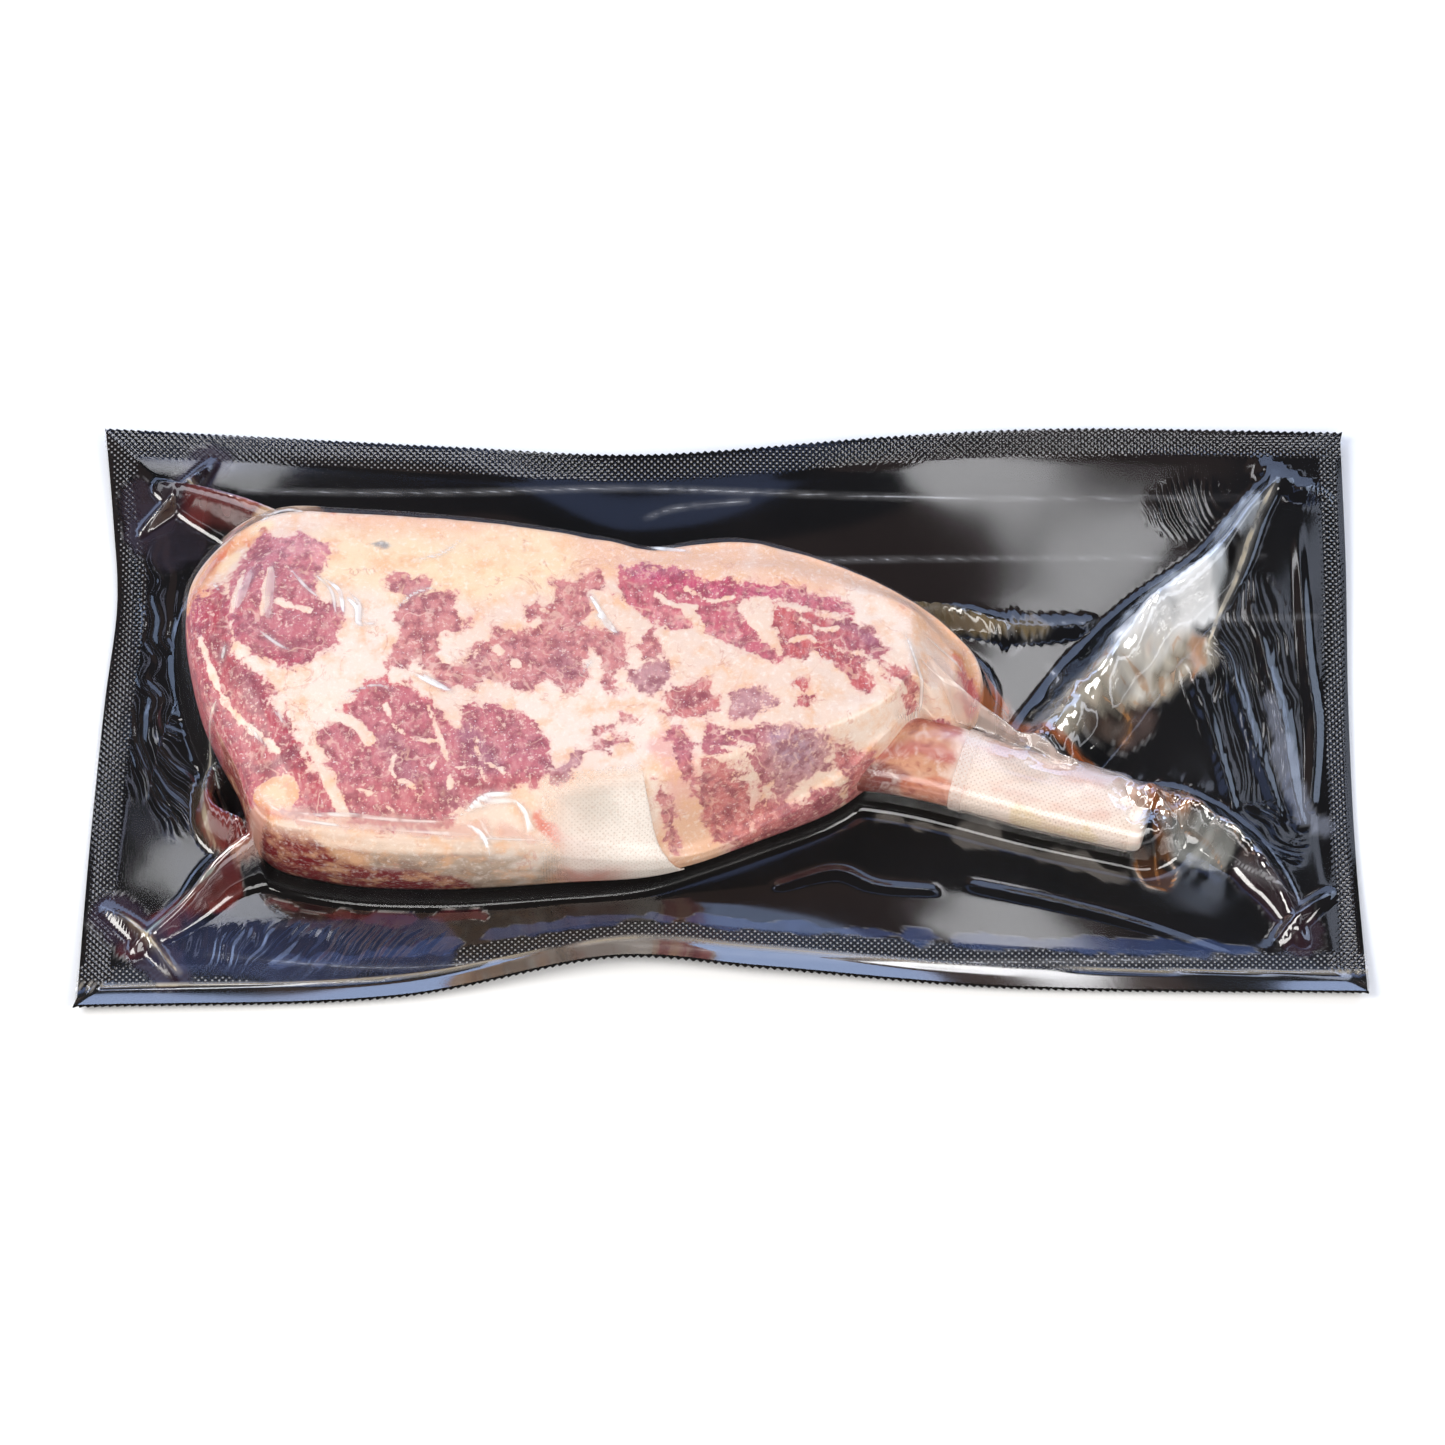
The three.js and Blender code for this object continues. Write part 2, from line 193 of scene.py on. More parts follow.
def writeMesh(name, points, faces, material, replaced, values=None, tints=None, merge=True):
    # A piece from points in millimetres and faces, with number and colour attributes on its points.
    mesh = bpy.data.meshes.new(name)
    mesh.from_pydata((points * metre).tolist(), [], faces.tolist())
    for key, data in (values or {}).items():
        mesh.attributes.new(key, "FLOAT", "POINT").data.foreach_set("value", data.astype(np.float32).ravel())
    for key, data in (tints or {}).items():
        full = np.concatenate([data.reshape(-1, 3), np.ones((data.size // 3, 1))], axis=1).astype(np.float32)
        mesh.attributes.new(key, "FLOAT_COLOR", "POINT").data.foreach_set("color", full.ravel())
    work = bmesh.new()
    work.from_mesh(mesh)
    if merge:
        bmesh.ops.remove_doubles(work, verts=work.verts, dist=2e-6)
    bmesh.ops.recalc_face_normals(work, faces=work.faces)
    topmost = max(work.faces, key=lambda face: face.calc_center_median().z)
    if topmost.normal.z < 0:
        bmesh.ops.reverse_faces(work, faces=work.faces)
    work.to_mesh(mesh)
    work.free()
    mesh.shade_smooth()
    piece = bpy.data.objects.new(name, mesh)
    bpy.context.scene.collection.objects.link(piece)
    mesh.materials.append(material)
    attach(piece, "root")
    if replaced:
        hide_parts(*replaced)
    print(name, len(mesh.vertices), "points", len(mesh.polygons), "faces")
    return piece


# Material building

class NodeBench:
    # Short ways to add and join shader nodes in one material.
    def __init__(self, name):
        self.material = bpy.data.materials.new(name)
        self.material.use_nodes = True
        self.tree = self.material.node_tree
        self.tree.nodes.clear()
        self.output = self.add("ShaderNodeOutputMaterial")
        self.place = self.add("ShaderNodeTexCoord").outputs["Object"]

    def add(self, kind, settings=None, **sockets):
        node = self.tree.nodes.new(kind)
        for key, value in (settings or {}).items():
            setattr(node, key, value)
        for key, value in sockets.items():
            self.join(value, node.inputs[key.replace("_", " ")])
        return node

    def join(self, value, socket):
        if isinstance(value, bpy.types.NodeSocket):
            self.tree.links.new(value, socket)
        else:
            socket.default_value = value

    def math(self, kind, a, b=0.0, c=0.0):
        node = self.add("ShaderNodeMath", {"operation": kind})
        for value, socket in zip((a, b, c), node.inputs):
            self.join(value, socket)
        return node.outputs[0]

    def times(self, a, b):
        return self.math("MULTIPLY", a, b)

    def larger(self, a, b):
        return self.math("MAXIMUM", a, b)

    def rest(self, value):
        # One less the value.
        return self.math("SUBTRACT", 1.0, value)

    def offMiddle(self, value):
        # How far a value is above a half.
        return self.math("SUBTRACT", value, 0.5)

    def lines(self, field, thin, wide):
        # Fine lines where a field crosses a half: full up to thin off it, gone at wide.
        return self.rest(self.ramp(self.math("ABSOLUTE", self.offMiddle(field)), thin, wide))

    def wave(self, value, length):
        # Sine of a value, one full wave for each length.
        return self.math("SINE", self.times(value, 2 * math.pi / length))

    def ramp(self, value, low, high, start=0.0, end=1.0):
        # Rises from start to end as the value goes from low to high, by the smooth curve.
        node = self.add("ShaderNodeMapRange", {"interpolation_type": "SMOOTHSTEP"})
        entries = {"Value": value, "From Min": low, "From Max": high, "To Min": start, "To Max": end}
        for key, entry in entries.items():
            self.join(entry, node.inputs[key])
        return node.outputs["Result"]

    def noise(self, size, detail=3.0, rough=0.55, warp=0.0, stretch=None):
        # Noise with features about size millimetres across, from 0 to 1.
        place = self.place
        if stretch:
            scale, turn = stretch
            place = self.add("ShaderNodeMapping", Vector=place, Scale=scale, Rotation=turn).outputs[0]
        node = self.add("ShaderNodeTexNoise", Vector=place, Scale=1 / (size * metre), Detail=detail)
        self.join(rough, node.inputs["Roughness"])
        self.join(warp, node.inputs["Distortion"])
        return node.outputs["Fac"]

    def value(self, name):
        # A number that the mesh carries on its points; tint is a colour that it carries.
        return self.add("ShaderNodeAttribute", {"attribute_name": name}).outputs["Fac"]

    def tint(self, name):
        return self.add("ShaderNodeAttribute", {"attribute_name": name}).outputs["Color"]

    def mix(self, share, a, b):
        # Colour a goes over to colour b by a share.
        node = self.add("ShaderNodeMix", {"data_type": "RGBA"})
        self.join(share, node.inputs["Factor"])
        self.join(a, node.inputs[6])
        self.join(b, node.inputs[7])
        return node.outputs[2]

    def bump(self, height, distance, strength=1.0):
        # The normal of a surface raised by a height from 0 to 1 times a distance in millimetres.
        node = self.add("ShaderNodeBump", Height=height, Distance=distance * metre, Strength=strength)
        return node.outputs["Normal"]

    def coat(self, colour, rough, normal=None, specular=0.5):
        # A skin with a colour, a roughness and the strength of its highlights.
        node = self.add("ShaderNodeBsdfPrincipled", Base_Color=colour, Roughness=rough)
        node.inputs["Specular IOR Level"].default_value = specular
        if normal is not None:
            self.join(normal, node.inputs["Normal"])
        return node.outputs[0]

    def clear(self):
        return self.add("ShaderNodeBsdfTransparent", Color=(1, 1, 1, 1)).outputs[0]

    def blend(self, share, under, over):
        # The second shader covers the first by a share.
        node = self.add("ShaderNodeMixShader", Fac=share)
        self.tree.links.new(under, node.inputs[1])
        self.tree.links.new(over, node.inputs[2])
        return node.outputs[0]

    def surface(self, shader):
        self.tree.links.new(shader, self.output.inputs["Surface"])
        return self.material


# The camera and the stage

view = {"elevation": 60.0, "distance": 2.75, "lens": 177.0, "sensor": 36.0, "below": 0.0025}


def makeCamera():
    # The camera stands at the photograph's elevation and looks at a point just under the pack's middle.
    lift = math.radians(view["elevation"])
    back = np.array([0, -math.cos(lift), math.sin(lift)])
    up = np.array([0, math.sin(lift), math.cos(lift)])
    data = bpy.data.cameras.new("camera")
    data.lens = view["lens"]
    data.sensor_width = view["sensor"]
    data.clip_start, data.clip_end = 0.05, 50
    camera = bpy.data.objects.new("camera", data)
    camera.location = back * view["distance"] - up * view["below"]
    camera.rotation_euler = (math.pi / 2 - lift, 0, 0)
    bpy.context.scene.collection.objects.link(camera)
    bpy.context.scene.camera = camera


# Soft panels: place, width and height in metres, radiance and colour
panels = {
    "key": ((-1.35, -0.25, 1.45), (1.1, 1.1), 8.0, (1.0, 0.98, 0.95)),
    "fill": ((1.45, -0.75, 1.35), (1.0, 1.0), 7.0, (1.0, 0.98, 0.96)),
    "front": ((0.0, -1.9, 1.5), (1.8, 1.0), 3.6, (1.0, 0.99, 0.98)),
    "skyLeft": ((-0.95, 0.8, 1.2), (0.6, 0.6), 2.2, (0.50, 0.66, 1.0)),
    "skyRight": ((1.0, 0.75, 1.2), (0.7, 0.6), 2.6, (0.60, 0.74, 1.0)),
    "skyFar": ((0.0, 1.62, 1.12), (3.0, 1.25), 1.9, (0.5, 0.64, 1.0)),
    "farLeft": ((-0.255, 0.52, 1.2), (0.05, 0.2), 3.2, (0.96, 0.97, 1.0)),
    "farRight": ((0.18, 0.72, 1.2), (0.055, 0.10), 4.2, (0.96, 0.97, 1.0)),
    "warmFar": ((0.0, 0.81, 1.22), (0.5, 0.2), 0.13, (1.0, 0.6, 0.48)),
    "nearBand": ((0.0, 0.54, 1.21), (0.76, 0.08), 0.6, (0.35, 0.5, 1.0)),
    "rightBand": ((0.33, 0.66, 1.2), (0.07, 0.3), 1.3, (0.72, 0.8, 1.0)),
    "leftBand": ((-0.345, 0.66, 1.2), (0.04, 0.26), 1.1, (0.7, 0.74, 1.0)),
}
room = {"colour": (0.93, 0.96, 1.0, 1.0), "strength": 0.04}


def makeLights():
    # Each panel is an area light aimed at the pack; its power is radiance times area times pi.
    for name, (at, size, radiance, colour) in panels.items():
        data = bpy.data.lights.new(name, "AREA")
        data.shape = "RECTANGLE"
        data.size, data.size_y = size
        data.energy = radiance * size[0] * size[1] * math.pi
        data.color = colour
        lamp = bpy.data.objects.new(name, data)
        lamp.location = at
        lamp.rotation_euler = (math.atan2(math.hypot(at[0], at[1]), at[2]), 0, math.atan2(at[0], -at[1]))
        bpy.context.scene.collection.objects.link(lamp)
    world = bpy.data.worlds.new("room")
    world.use_nodes = True
    background = world.node_tree.nodes["Background"]
    background.inputs["Color"].default_value = room["colour"]
    background.inputs["Strength"].default_value = room["strength"]
    bpy.context.scene.world = world
    bpy.context.scene.view_settings.view_transform = "Standard"


def makeFloor():
    # One wide flat square, nearly white, a little cloudy.
    bench = NodeBench("paleFloor")
    cloud = bench.ramp(bench.noise(400, 2), 0.3, 0.7)
    colour = bench.mix(cloud, (0.93, 0.93, 0.93, 1), (0.95, 0.95, 0.95, 1))
    material = bench.surface(bench.coat(colour, 0.9))
    mesh = bpy.data.meshes.new("floor")
    reach = 30.0
    corners = [(-reach, -reach, 0), (reach, -reach, 0), (reach, reach, 0), (-reach, reach, 0)]
    mesh.from_pydata(corners, [], [(0, 1, 2, 3)])
    mesh.materials.append(material)
    floor = bpy.data.objects.new("floor", mesh)
    bpy.context.scene.collection.objects.link(floor)


makeCamera()
makeLights()
makeFloor()
print("camera, lights and floor")


# The meat's form

meatForm = {
    "bed": 1.3,
    "edge": [
        [101, 5, 15], [98, 16, 21], [86, 26, 28], [69, 35, 35], [45, 45.5, 40], [26, 52, 42], [7, 56, 43],
        [-10, 55, 43], [-27, 52, 43], [-44, 55, 45], [-86, 63, 45], [-144, 69, 44], [-172, 71, 41],
        [-190, 63, 38], [-205, 42, 39], [-207, 22, 41], [-200, -12, 40], [-186, -42, 39], [-175, -68, 38],
        [-150, -77, 41], [-112, -80, 39], [-62, -77, 30], [-30, -74, 20], [-10, -68, 12], [14, -58, 15],
        [44, -44, 24], [62, -28, 31], [75, -12, 27], [87, -16, 16], [97, -8, 13],
    ],
    "spine": {"left": -140.0, "right": 66.0, "y": -4.0, "rise": 12.0},
    "profile": [
        [0.965, 0], [0.995, 0.3], [1, 0.6], [0.985, 0.86], [0.945, 1], [0.86, 1], [0.74, 1], [0.58, 1],
        [0.38, 1], [0.14, 1],
    ],
    "rimRow": 4,
    "face": {
        "height": 46.5, "fall": 6, "fallFrom": 16, "fallRun": 56, "lobe": 13, "lobeFrom": 70, "lobeRun": 20,
    },
    "swell": {"height": 1.3, "alongX": 34, "alongY": 27},
}
meatCurve = smoothPath(meatForm["edge"], closed=True, perSpan=48)
meatRound = lengthsOf(meatCurve) / lengthsOf(meatCurve)[-1]


def spineY(x):
    # The middle line of the meat: level at the left, rising towards the bone.
    spine = meatForm["spine"]
    return spine["y"] + spine["rise"] * smooth(x / spine["right"])


def faceHeight(x, y):
    # Level of the cut face: one height that falls towards the bone and swells gently.
    face, swell = meatForm["face"], meatForm["swell"]
    fall = face["fall"] * smooth((x - face["fallFrom"]) / face["fallRun"])
    lobe = face["lobe"] * smooth((x - face["lobeFrom"]) / face["lobeRun"])
    waves = swell["height"] * np.sin(x / swell["alongX"]) * np.cos(y / swell["alongY"])
    return face["height"] - fall - lobe + waves


def meatEdgeAt(turn):
    # Edge of the meat and the height of its rim at a share of the way round.
    wrapped = turn - np.floor(turn)
    return [np.interp(wrapped, meatRound, meatCurve[:, k]) for k in range(3)]


def meatSurface(turn, row):
    # A point of the meat's wall or face: from the spine towards the edge by the profile's reach, and from the
    # bed up to the rim or the face by its rise.
    edgeX, edgeY, rim = meatEdgeAt(turn)
    spine, profile = meatForm["spine"], np.array(meatForm["profile"] + [[0.0, 1.0]])
    heartX = np.clip(edgeX, spine["left"], spine["right"])
    heartY = spineY(heartX)
    rows = np.arange(len(profile))
    reach = np.interp(row, rows, profile[:, 0])
    rise = np.interp(row, rows, profile[:, 1])
    x, y = between(heartX, edgeX, reach), between(heartY, edgeY, reach)
    rimReach = profile[meatForm["rimRow"], 0]
    blend = np.where(row > meatForm["rimRow"], smooth((rimReach - reach) / 0.3), 0)
    wallTop = between(rim, faceHeight(x, y), blend)
    bed = meatForm["bed"]
    return np.stack([x, y, bed + (wallTop - bed) * rise], axis=-1)


def meatOffset(turn, row, distance):
    # A point a distance off the meat's skin, along the normal from two nearby differences.
    small = 0.02
    aside = meatSurface(turn + small / 74, row) - meatSurface(turn - small / 74, row)
    inward = meatSurface(turn, np.minimum(row + small, 9)) - meatSurface(turn, np.maximum(row - small, 0))
    normal = np.cross(aside, inward)
    normal /= np.linalg.norm(normal, axis=-1, keepdims=True)
    return meatSurface(turn, row) + normal * distance


def meatShare(x, y):
    # The way back from a place to the meat: its share of the way from the spine to the edge, the rim's
    # height there and the distance past the edge. Between the spine's ends the rays run along Y, past them
    # they fan out.
    spine = meatForm["spine"]
    heartX = np.clip(x, spine["left"], spine["right"])
    heartY = spineY(heartX)
    edgeX, edgeY, rim = (meatCurve[:, k] for k in range(3))
    farSide = edgeY > spineY(edgeX)
    reach = np.zeros_like(x)
    rimHere = np.zeros_like(x)
    length = np.ones_like(x)
    for far in (True, False):
        keep = farSide == far
        order = np.argsort(edgeX[keep])
        lineX, lineY, lineZ = (axis[keep][order] for axis in (edgeX, edgeY, rim))
        here = (x >= spine["left"]) & (x <= spine["right"]) & ((y > heartY) == far)
        run = np.abs(np.interp(x, lineX, lineY) - heartY)
        reach = np.where(here, np.abs(y - heartY) / run, reach)
        length = np.where(here, run, length)
        rimHere = np.where(here, np.interp(x, lineX, lineZ), rimHere)
    for end, turned in ((spine["left"], math.pi), (spine["right"], 0.0)):
        here = (x < end) if turned else (x > end)
        middle = spineY(np.array(end))
        keep = (edgeX <= end) if turned else (edgeX >= end)
        angles = np.mod(np.arctan2(edgeY - middle, edgeX - end) - turned + math.pi, 2 * math.pi)
        runs = np.hypot(edgeX - end, edgeY - middle)
        order = np.argsort(angles[keep])
        angle = np.mod(np.arctan2(y - middle, x - end) - turned + math.pi, 2 * math.pi)
        run = np.interp(angle, angles[keep][order], runs[keep][order])
        reach = np.where(here, np.hypot(x - end, y - middle) / run, reach)
        length = np.where(here, run, length)
        rimHere = np.where(here, np.interp(angle, angles[keep][order], rim[keep][order]), rimHere)
    return reach, rimHere, (reach - 1) * length


# The rib's form

ribForm = {
    "path": [[-24, -38], [18, -26], [50, -22], [80, -27], [120, -40], [160, -51.5]],
    "size": [[25, 17], [31, 20], [32, 21], [31.5, 21], [29, 20], [26.5, 18.5]],
    "roundness": 2.5,
    "end": {"length": 2.2, "scale": 0.84},
}
ribCurve = smoothPath(ribForm["path"], perSpan=40)
ribLength = lengthsOf(ribCurve)[-1]


def ribSizeAt(share):
    # Width and height of the rib's section, straight from one listed size to the next.
    sizes = np.array(ribForm["size"], float)
    where = np.clip(share, 0, 1) * (len(sizes) - 1)
    return [np.interp(where, np.arange(len(sizes)), sizes[:, k]) for k in range(2)]


def ribSkin(share, angle, grow=0.0, scale=1.0):
    # A point of the rib's skin: a rounded box section across the middle line. Angle 0 is its far side.
    held = np.clip(share, 0, 1)
    middle = atShare(ribCurve, held)
    ahead = atShare(ribCurve, np.clip(held + 0.004, 0, 1)) - atShare(ribCurve, np.clip(held - 0.004, 0, 1))
    ahead /= np.linalg.norm(ahead, axis=-1, keepdims=True)
    middle = middle + ahead * ((share - held) * ribLength)[..., None]
    width, height = ribSizeAt(share)
    power = 2 / ribForm["roundness"]
    across = np.sign(np.cos(angle)) * np.abs(np.cos(angle)) ** power * (width / 2 + grow) * scale
    up = np.sign(np.sin(angle)) * np.abs(np.sin(angle)) ** power * (height / 2 + grow) * scale
    x = middle[..., 0] - ahead[..., 1] * across
    y = middle[..., 1] + ahead[..., 0] * across
    return np.stack([x, y, meatForm["bed"] + height / 2 + up], axis=-1)


# The pack's outline

packForm = {
    "backFilm": 1.0,
    "filmGap": 0.35,
    "seal": 11.0,
    "far": [[244.5, 126, 4], [134, 129, 2], [70, 125, 3], [-33, 115, 5], [-108, 120, 3], [-244.5, 128, 4]],
    "left": [[-244.5, 128, 4], [-240, 88, 2], [-237, 51, 1], [-240, 6, 1], [-243, -60, 1], [-244.5, -129, 4]],
    "near": [
        [-244.5, -129, 4], [-122, -124, 3], [-39, -109, 7], [14, -113, 6], [105, -120, 3], [244.5, -123, 4],
    ],
    "right": [[244.5, -123, 4], [243, -60, 1], [243, 6, 1], [244.5, 69, 2], [244.5, 126, 4]],
    "toothPitch": 2.8,
    "toothDepth": 1.3,
    "netBands": {"far": (0.2, 11.0), "left": (2.0, 12.0), "near": (8.6, 17.0), "right": (2.6, 10.0)},
    "netPitch": 2.6,
}
# Outline of the meat and the bare rib together, anticlockwise from the rib's far corner
contentsRight = [[160, -35], [125, -23], [110, -14], [104, -3], [101, 5]]
contentsTip = [[44, -44], [60, -45], [76, -46.5], [115, -57.5], [155, -68], [160, -68.5]]
tipEnd = [[160, -68.5], [165.5, -66], [168.5, -54], [166, -38], [160, -35]]


def contentsRing():
    # The outline in four stretches that match the pack's four sides.
    start = np.argmin(np.hypot(meatCurve[:, 0] - 101, meatCurve[:, 1] - 5))
    curve = np.roll(meatCurve[:-1], -start, axis=0)[:, :2]
    stop = np.argmin(np.hypot(curve[:, 0] - 44, curve[:, 1] + 44))
    whole = np.vstack([smoothPath(contentsRight)[:-1], curve[:stop], smoothPath(contentsTip)])
    farCorner = np.argmin(np.hypot(whole[:, 0] + 184, whole[:, 1] - 66))
    nearCorner = np.argmin(np.hypot(whole[:, 0] + 176, whole[:, 1] + 69))
    return [
        whole[:farCorner + 1],
        whole[farCorner:nearCorner + 1],
        whole[nearCorner:],
        smoothPath(tipEnd),
    ]


contentsSides = contentsRing()
packCurves = [smoothPath(packForm[name], perSpan=40) for name in ("far", "left", "near", "right")]


def outlineAt(place):
    # Contents, pack edge and lift at places round the pack: the whole part names the side and the rest is
    # the share of the way along it, on both lines.
    side = np.clip(np.floor(place).astype(int), 0, 3)
    share = place - side
    inner = np.zeros((len(place), 2))
    outer = np.zeros((len(place), 3))
    for k in range(4):
        inner = np.where((side == k)[:, None], atShare(contentsSides[k], share), inner)
        outer = np.where((side == k)[:, None], atShare(packCurves[k], share), outer)
    return inner, outer


def heartOf(inner):
    # The middle line under an outline point, along the meat and on along the rib.
    x = np.interp(inner[:, 0], [-140, 62, 108, 160], [-140, 56, 98, 150])
    y = np.interp(x, [-140, 0, 40, 70, 98, 150], [-4, -4, 0, -12, -30, -48])
    return np.stack([x, y], axis=-1)


def placesRound():
    # Places round the pack for the film's columns: at the same X on the far and near sides between the
    # middle line's ends, so that both halves meet there, and evenly over the two ends.
    runs = [(160, 112, 36), (111, 92, 34), (90.7, -140, 178)]
    stations = np.concatenate([np.linspace(*run) for run in runs])
    farLine, nearLine = contentsSides[0], contentsSides[2]
    farShare = lengthsOf(farLine) / lengthsOf(farLine)[-1]
    nearShare = lengthsOf(nearLine) / lengthsOf(nearLine)[-1]
    straightFar = farLine[:, 0] >= -141
    straightNear = nearLine[:, 0] >= -141
    farPlaces = np.interp(-stations, -farLine[straightFar, 0], farShare[straightFar])
    nearPlaces = 2 + np.interp(stations[::-1], nearLine[straightNear, 0], nearShare[straightNear])
    leftFar = np.linspace(farPlaces[-1], 1, 40)[1:]
    left = np.linspace(1, 2, 118)[1:]
    leftNear = np.linspace(2, nearPlaces[0], 34)[1:-1]
    tip = np.linspace(3, 4, 122)[1:-1]
    return np.concatenate([farPlaces, leftFar, left, leftNear, nearPlaces, tip])


# Folds of film

folds = {
    "farLeft": [[-160, 64, 38, 15], [-186, 82, 28, 11], [-208, 94, 19, 8], [-221, 102, 8, 6]],
    "farLeftEnd": [[-201, 114, 4, 4], [-213, 98, 12, 5], [-228, 82, 4, 4]],
    "nearLeft": [[-166, -60, 34, 14], [-190, -72, 20, 11], [-202, -86, 14, 8], [-222, -103, 7, 6]],
    "nearLeftEnd": [[-235, -86, 4, 4], [-220, -99, 10, 5], [-207, -117, 4, 4]],
    "nearLeftFin": [[-193, -18, 6, 4], [-197, -36, 16, 7], [-195, -50, 22, 8], [-184, -60, 28, 9]],
    "farRight": [[120, -26, 20, 20], [146, 10, 22, 20], [168, 38, 27, 16], [192, 62, 24, 12],
        [208, 90, 13, 8], [220, 108, 5, 6]],
    "farRightEnd": [[210, 114, 4, 4], [221, 104, 8, 5], [239, 96, 4, 4]],
    "nearRight": [[150, -44, 18, 15], [176, -46, 17, 13], [197, -60, 16, 11], [212, -80, 10, 8],
        [220, -100, 4, 6]],
    "nearRightEnd": [[231, -80, 4, 4], [218, -92, 9, 5], [208, -104, 4, 4]],
    "farSide": [[66, 34, 30, 7], [90, 42, 14, 6], [112, 38, 7, 5], [142, 39, 3, 4]],
    "boneWeb": [[70, 16, 42, 9], [84, 0, 36, 10], [104, -15, 28, 9], [134, -32, 24, 8]],
    "rightStreakA": [[190, 40, 1.9, 4], [198, 14, 2.6, 5], [206, -16, 2.4, 5], [214, -46, 1.8, 4]],
    "rightStreakB": [[206, 48, 1.9, 4], [211, 22, 2.8, 5], [216, -6, 3.0, 7], [219, -34, 2.6, 7],
        [222, -50, 1.8, 4]],
    "rightStreakC": [[225, 96, 2.0, 4], [226, 62, 2.8, 5], [227, 22, 2.8, 5], [229, -6, 2.6, 6],
        [226, -40, 2.2, 5]],
    "rightStreakD": [[178, 30, 1.8, 4], [186, 4, 2.3, 4], [192, -22, 2.3, 4], [196, -42, 1.8, 4]],
    "lowStreak": [[96, -76, 1.8, 4], [128, -84, 3.0, 4], [160, -94, 3.0, 4], [190, -106, 2.4, 4]],
    "nearWaist": [[22, -76, 2.4, 4], [44, -70, 3.6, 4], [58, -76, 3.0, 4], [80, -78, 1.8, 4]],
}
tent = [[-1, 0], [-0.55, 0.32], [-0.22, 0.84], [0, 1], [0.22, 0.84], [0.55, 0.32], [1, 0]]


def foldHeight(x, y, ridge):
    # Height of one fold: its ridge's height times the tent section at the share of its half-width.
    path = smoothPath(ridge, perSpan=8)
    distance, share, side = towards(x, y, path)
    gone = lengthsOf(path) / lengthsOf(path)[-1]
    height, width = np.interp(share, gone, path[:, 2]), np.interp(share, gone, path[:, 3])
    section = np.array(tent)
    return height * np.interp(side * distance / width, section[:, 0], section[:, 1])


def meatFilm(x, y):
    # Film over the meat: its face and rounded rim a little higher and wider, then a wall that leans out to
    # the bed.
    clear, over = 1.3, 0.6
    reach, rim, past = meatShare(x, y)
    shrunk = reach * (1 - clear / 60)
    level = between(rim, faceHeight(x, y), smooth((0.945 - shrunk) / 0.3))
    bed = meatForm["bed"]
    rounded = np.interp(shrunk, [0.945, 0.965, 0.985, 0.995, 1], [1, 0.96, 0.86, 0.74, 0.62])
    top = bed + (level - bed) * rounded
    outside = np.maximum(past - clear, 0)
    wall = np.interp(outside, [0, 0.8, 1.8, 3.2, 5, 7.5], [1, 0.62, 0.34, 0.15, 0.05, 0])
    return np.where(past < clear, top + over, (top + over) * wall)


def ribFilm(x, y):
    # Film over the rib: the top of its section a little larger, then a skirt to the bed, and a slope past
    # its end.
    clear = 1.6
    distance, share, side = towards(x, y, ribCurve)
    width, height = ribSizeAt(share)
    across = distance / (width / 2 + clear)
    crown = np.maximum(1 - across ** ribForm["roundness"], 0) ** (1 / ribForm["roundness"])
    top = meatForm["bed"] + height / 2 + (height / 2 + clear) * crown
    outside = np.maximum(distance - width / 2 - clear, 0)
    skirt = np.interp(outside, [0, 1, 2.4, 4.5, 7], [1, 0.62, 0.3, 0.1, 0])
    return np.where(across < 1, top, (meatForm["bed"] + height / 2) * skirt)


print("forms")


# The clear front film

filmForm = {
    "innerRows": 54,
    "rimReach": [0.92, 0.94, 0.955, 0.97, 0.985, 1.0],
    "wallSteps": [0.7, 1.4, 2.1, 2.9, 3.8, 4.8, 6.0, 7.5, 9.5],
    "openRows": 44,
    "sealRows": 5,
    "valley": 2.5,
    "foldValley": 2.0,
    "fullLift": 12,
    "ripple": {"length": 8.5, "height": 0.45},
    "wave": {"length": 44, "height": 0.16},
    "rule": {"height": 0.25, "colour": "b8a98c", "cover": 0.55},
}
# Where the film is bunched up: path, reach and width of the edge; then the creases there: size, height, seed
bunches = {
    "far": ([[128, -14], [146, 4], [168, 24]], 26, 14),
    "near": ([[168, -44], [184, -52], [196, -62]], 24, 12),
}
creases = [(12, 11, 61), (4.5, 2.6, 62)]
looseFolds = ("farLeft", "nearLeft", "nearLeftFin", "farRight")


def filmGrid(places):
    # Rows of the film from the middle line over the contents' edge to the pack's edge. Returns the plan
    # places, the share of the way over the open film and the distance in from the pack's edge.
    inner, outer = outlineAt(places)
    heart = heartOf(inner)
    reach = np.concatenate([np.linspace(0, 0.9, filmForm["innerRows"]), filmForm["rimReach"]])[:, None, None]
    face = heart + (inner - heart) * reach
    outward = inner - heart
    outward = outward / np.linalg.norm(outward, axis=1, keepdims=True)
    span = outer[:, :2] - inner
    run = np.linalg.norm(span, axis=1, keepdims=True)
    steps = np.array(filmForm["wallSteps"])[:, None, None]
    ease = smooth(steps / (2 * steps[-1]))
    wall = inner + steps * between(outward, span / run, ease)
    start = wall[-1]
    stop = outer[:, :2] - span / run * packForm["seal"]
    share = np.linspace(0, 1, filmForm["openRows"] + 1)[1:, None, None]
    openFilm = start + (stop - start) * share
    band = np.linspace(0, 1, filmForm["sealRows"] + 1)[1:, None, None]
    seal = stop + (outer[:, :2] - stop) * band
    plan = np.concatenate([face, wall, openFilm, seal])
    fromInner = np.linalg.norm(plan - inner, axis=-1) / run[:, 0]
    fromInner[:len(face)] = 0
    inset = np.linalg.norm(outer[:, :2] - plan, axis=-1)
    return plan, fromInner, inset, outer


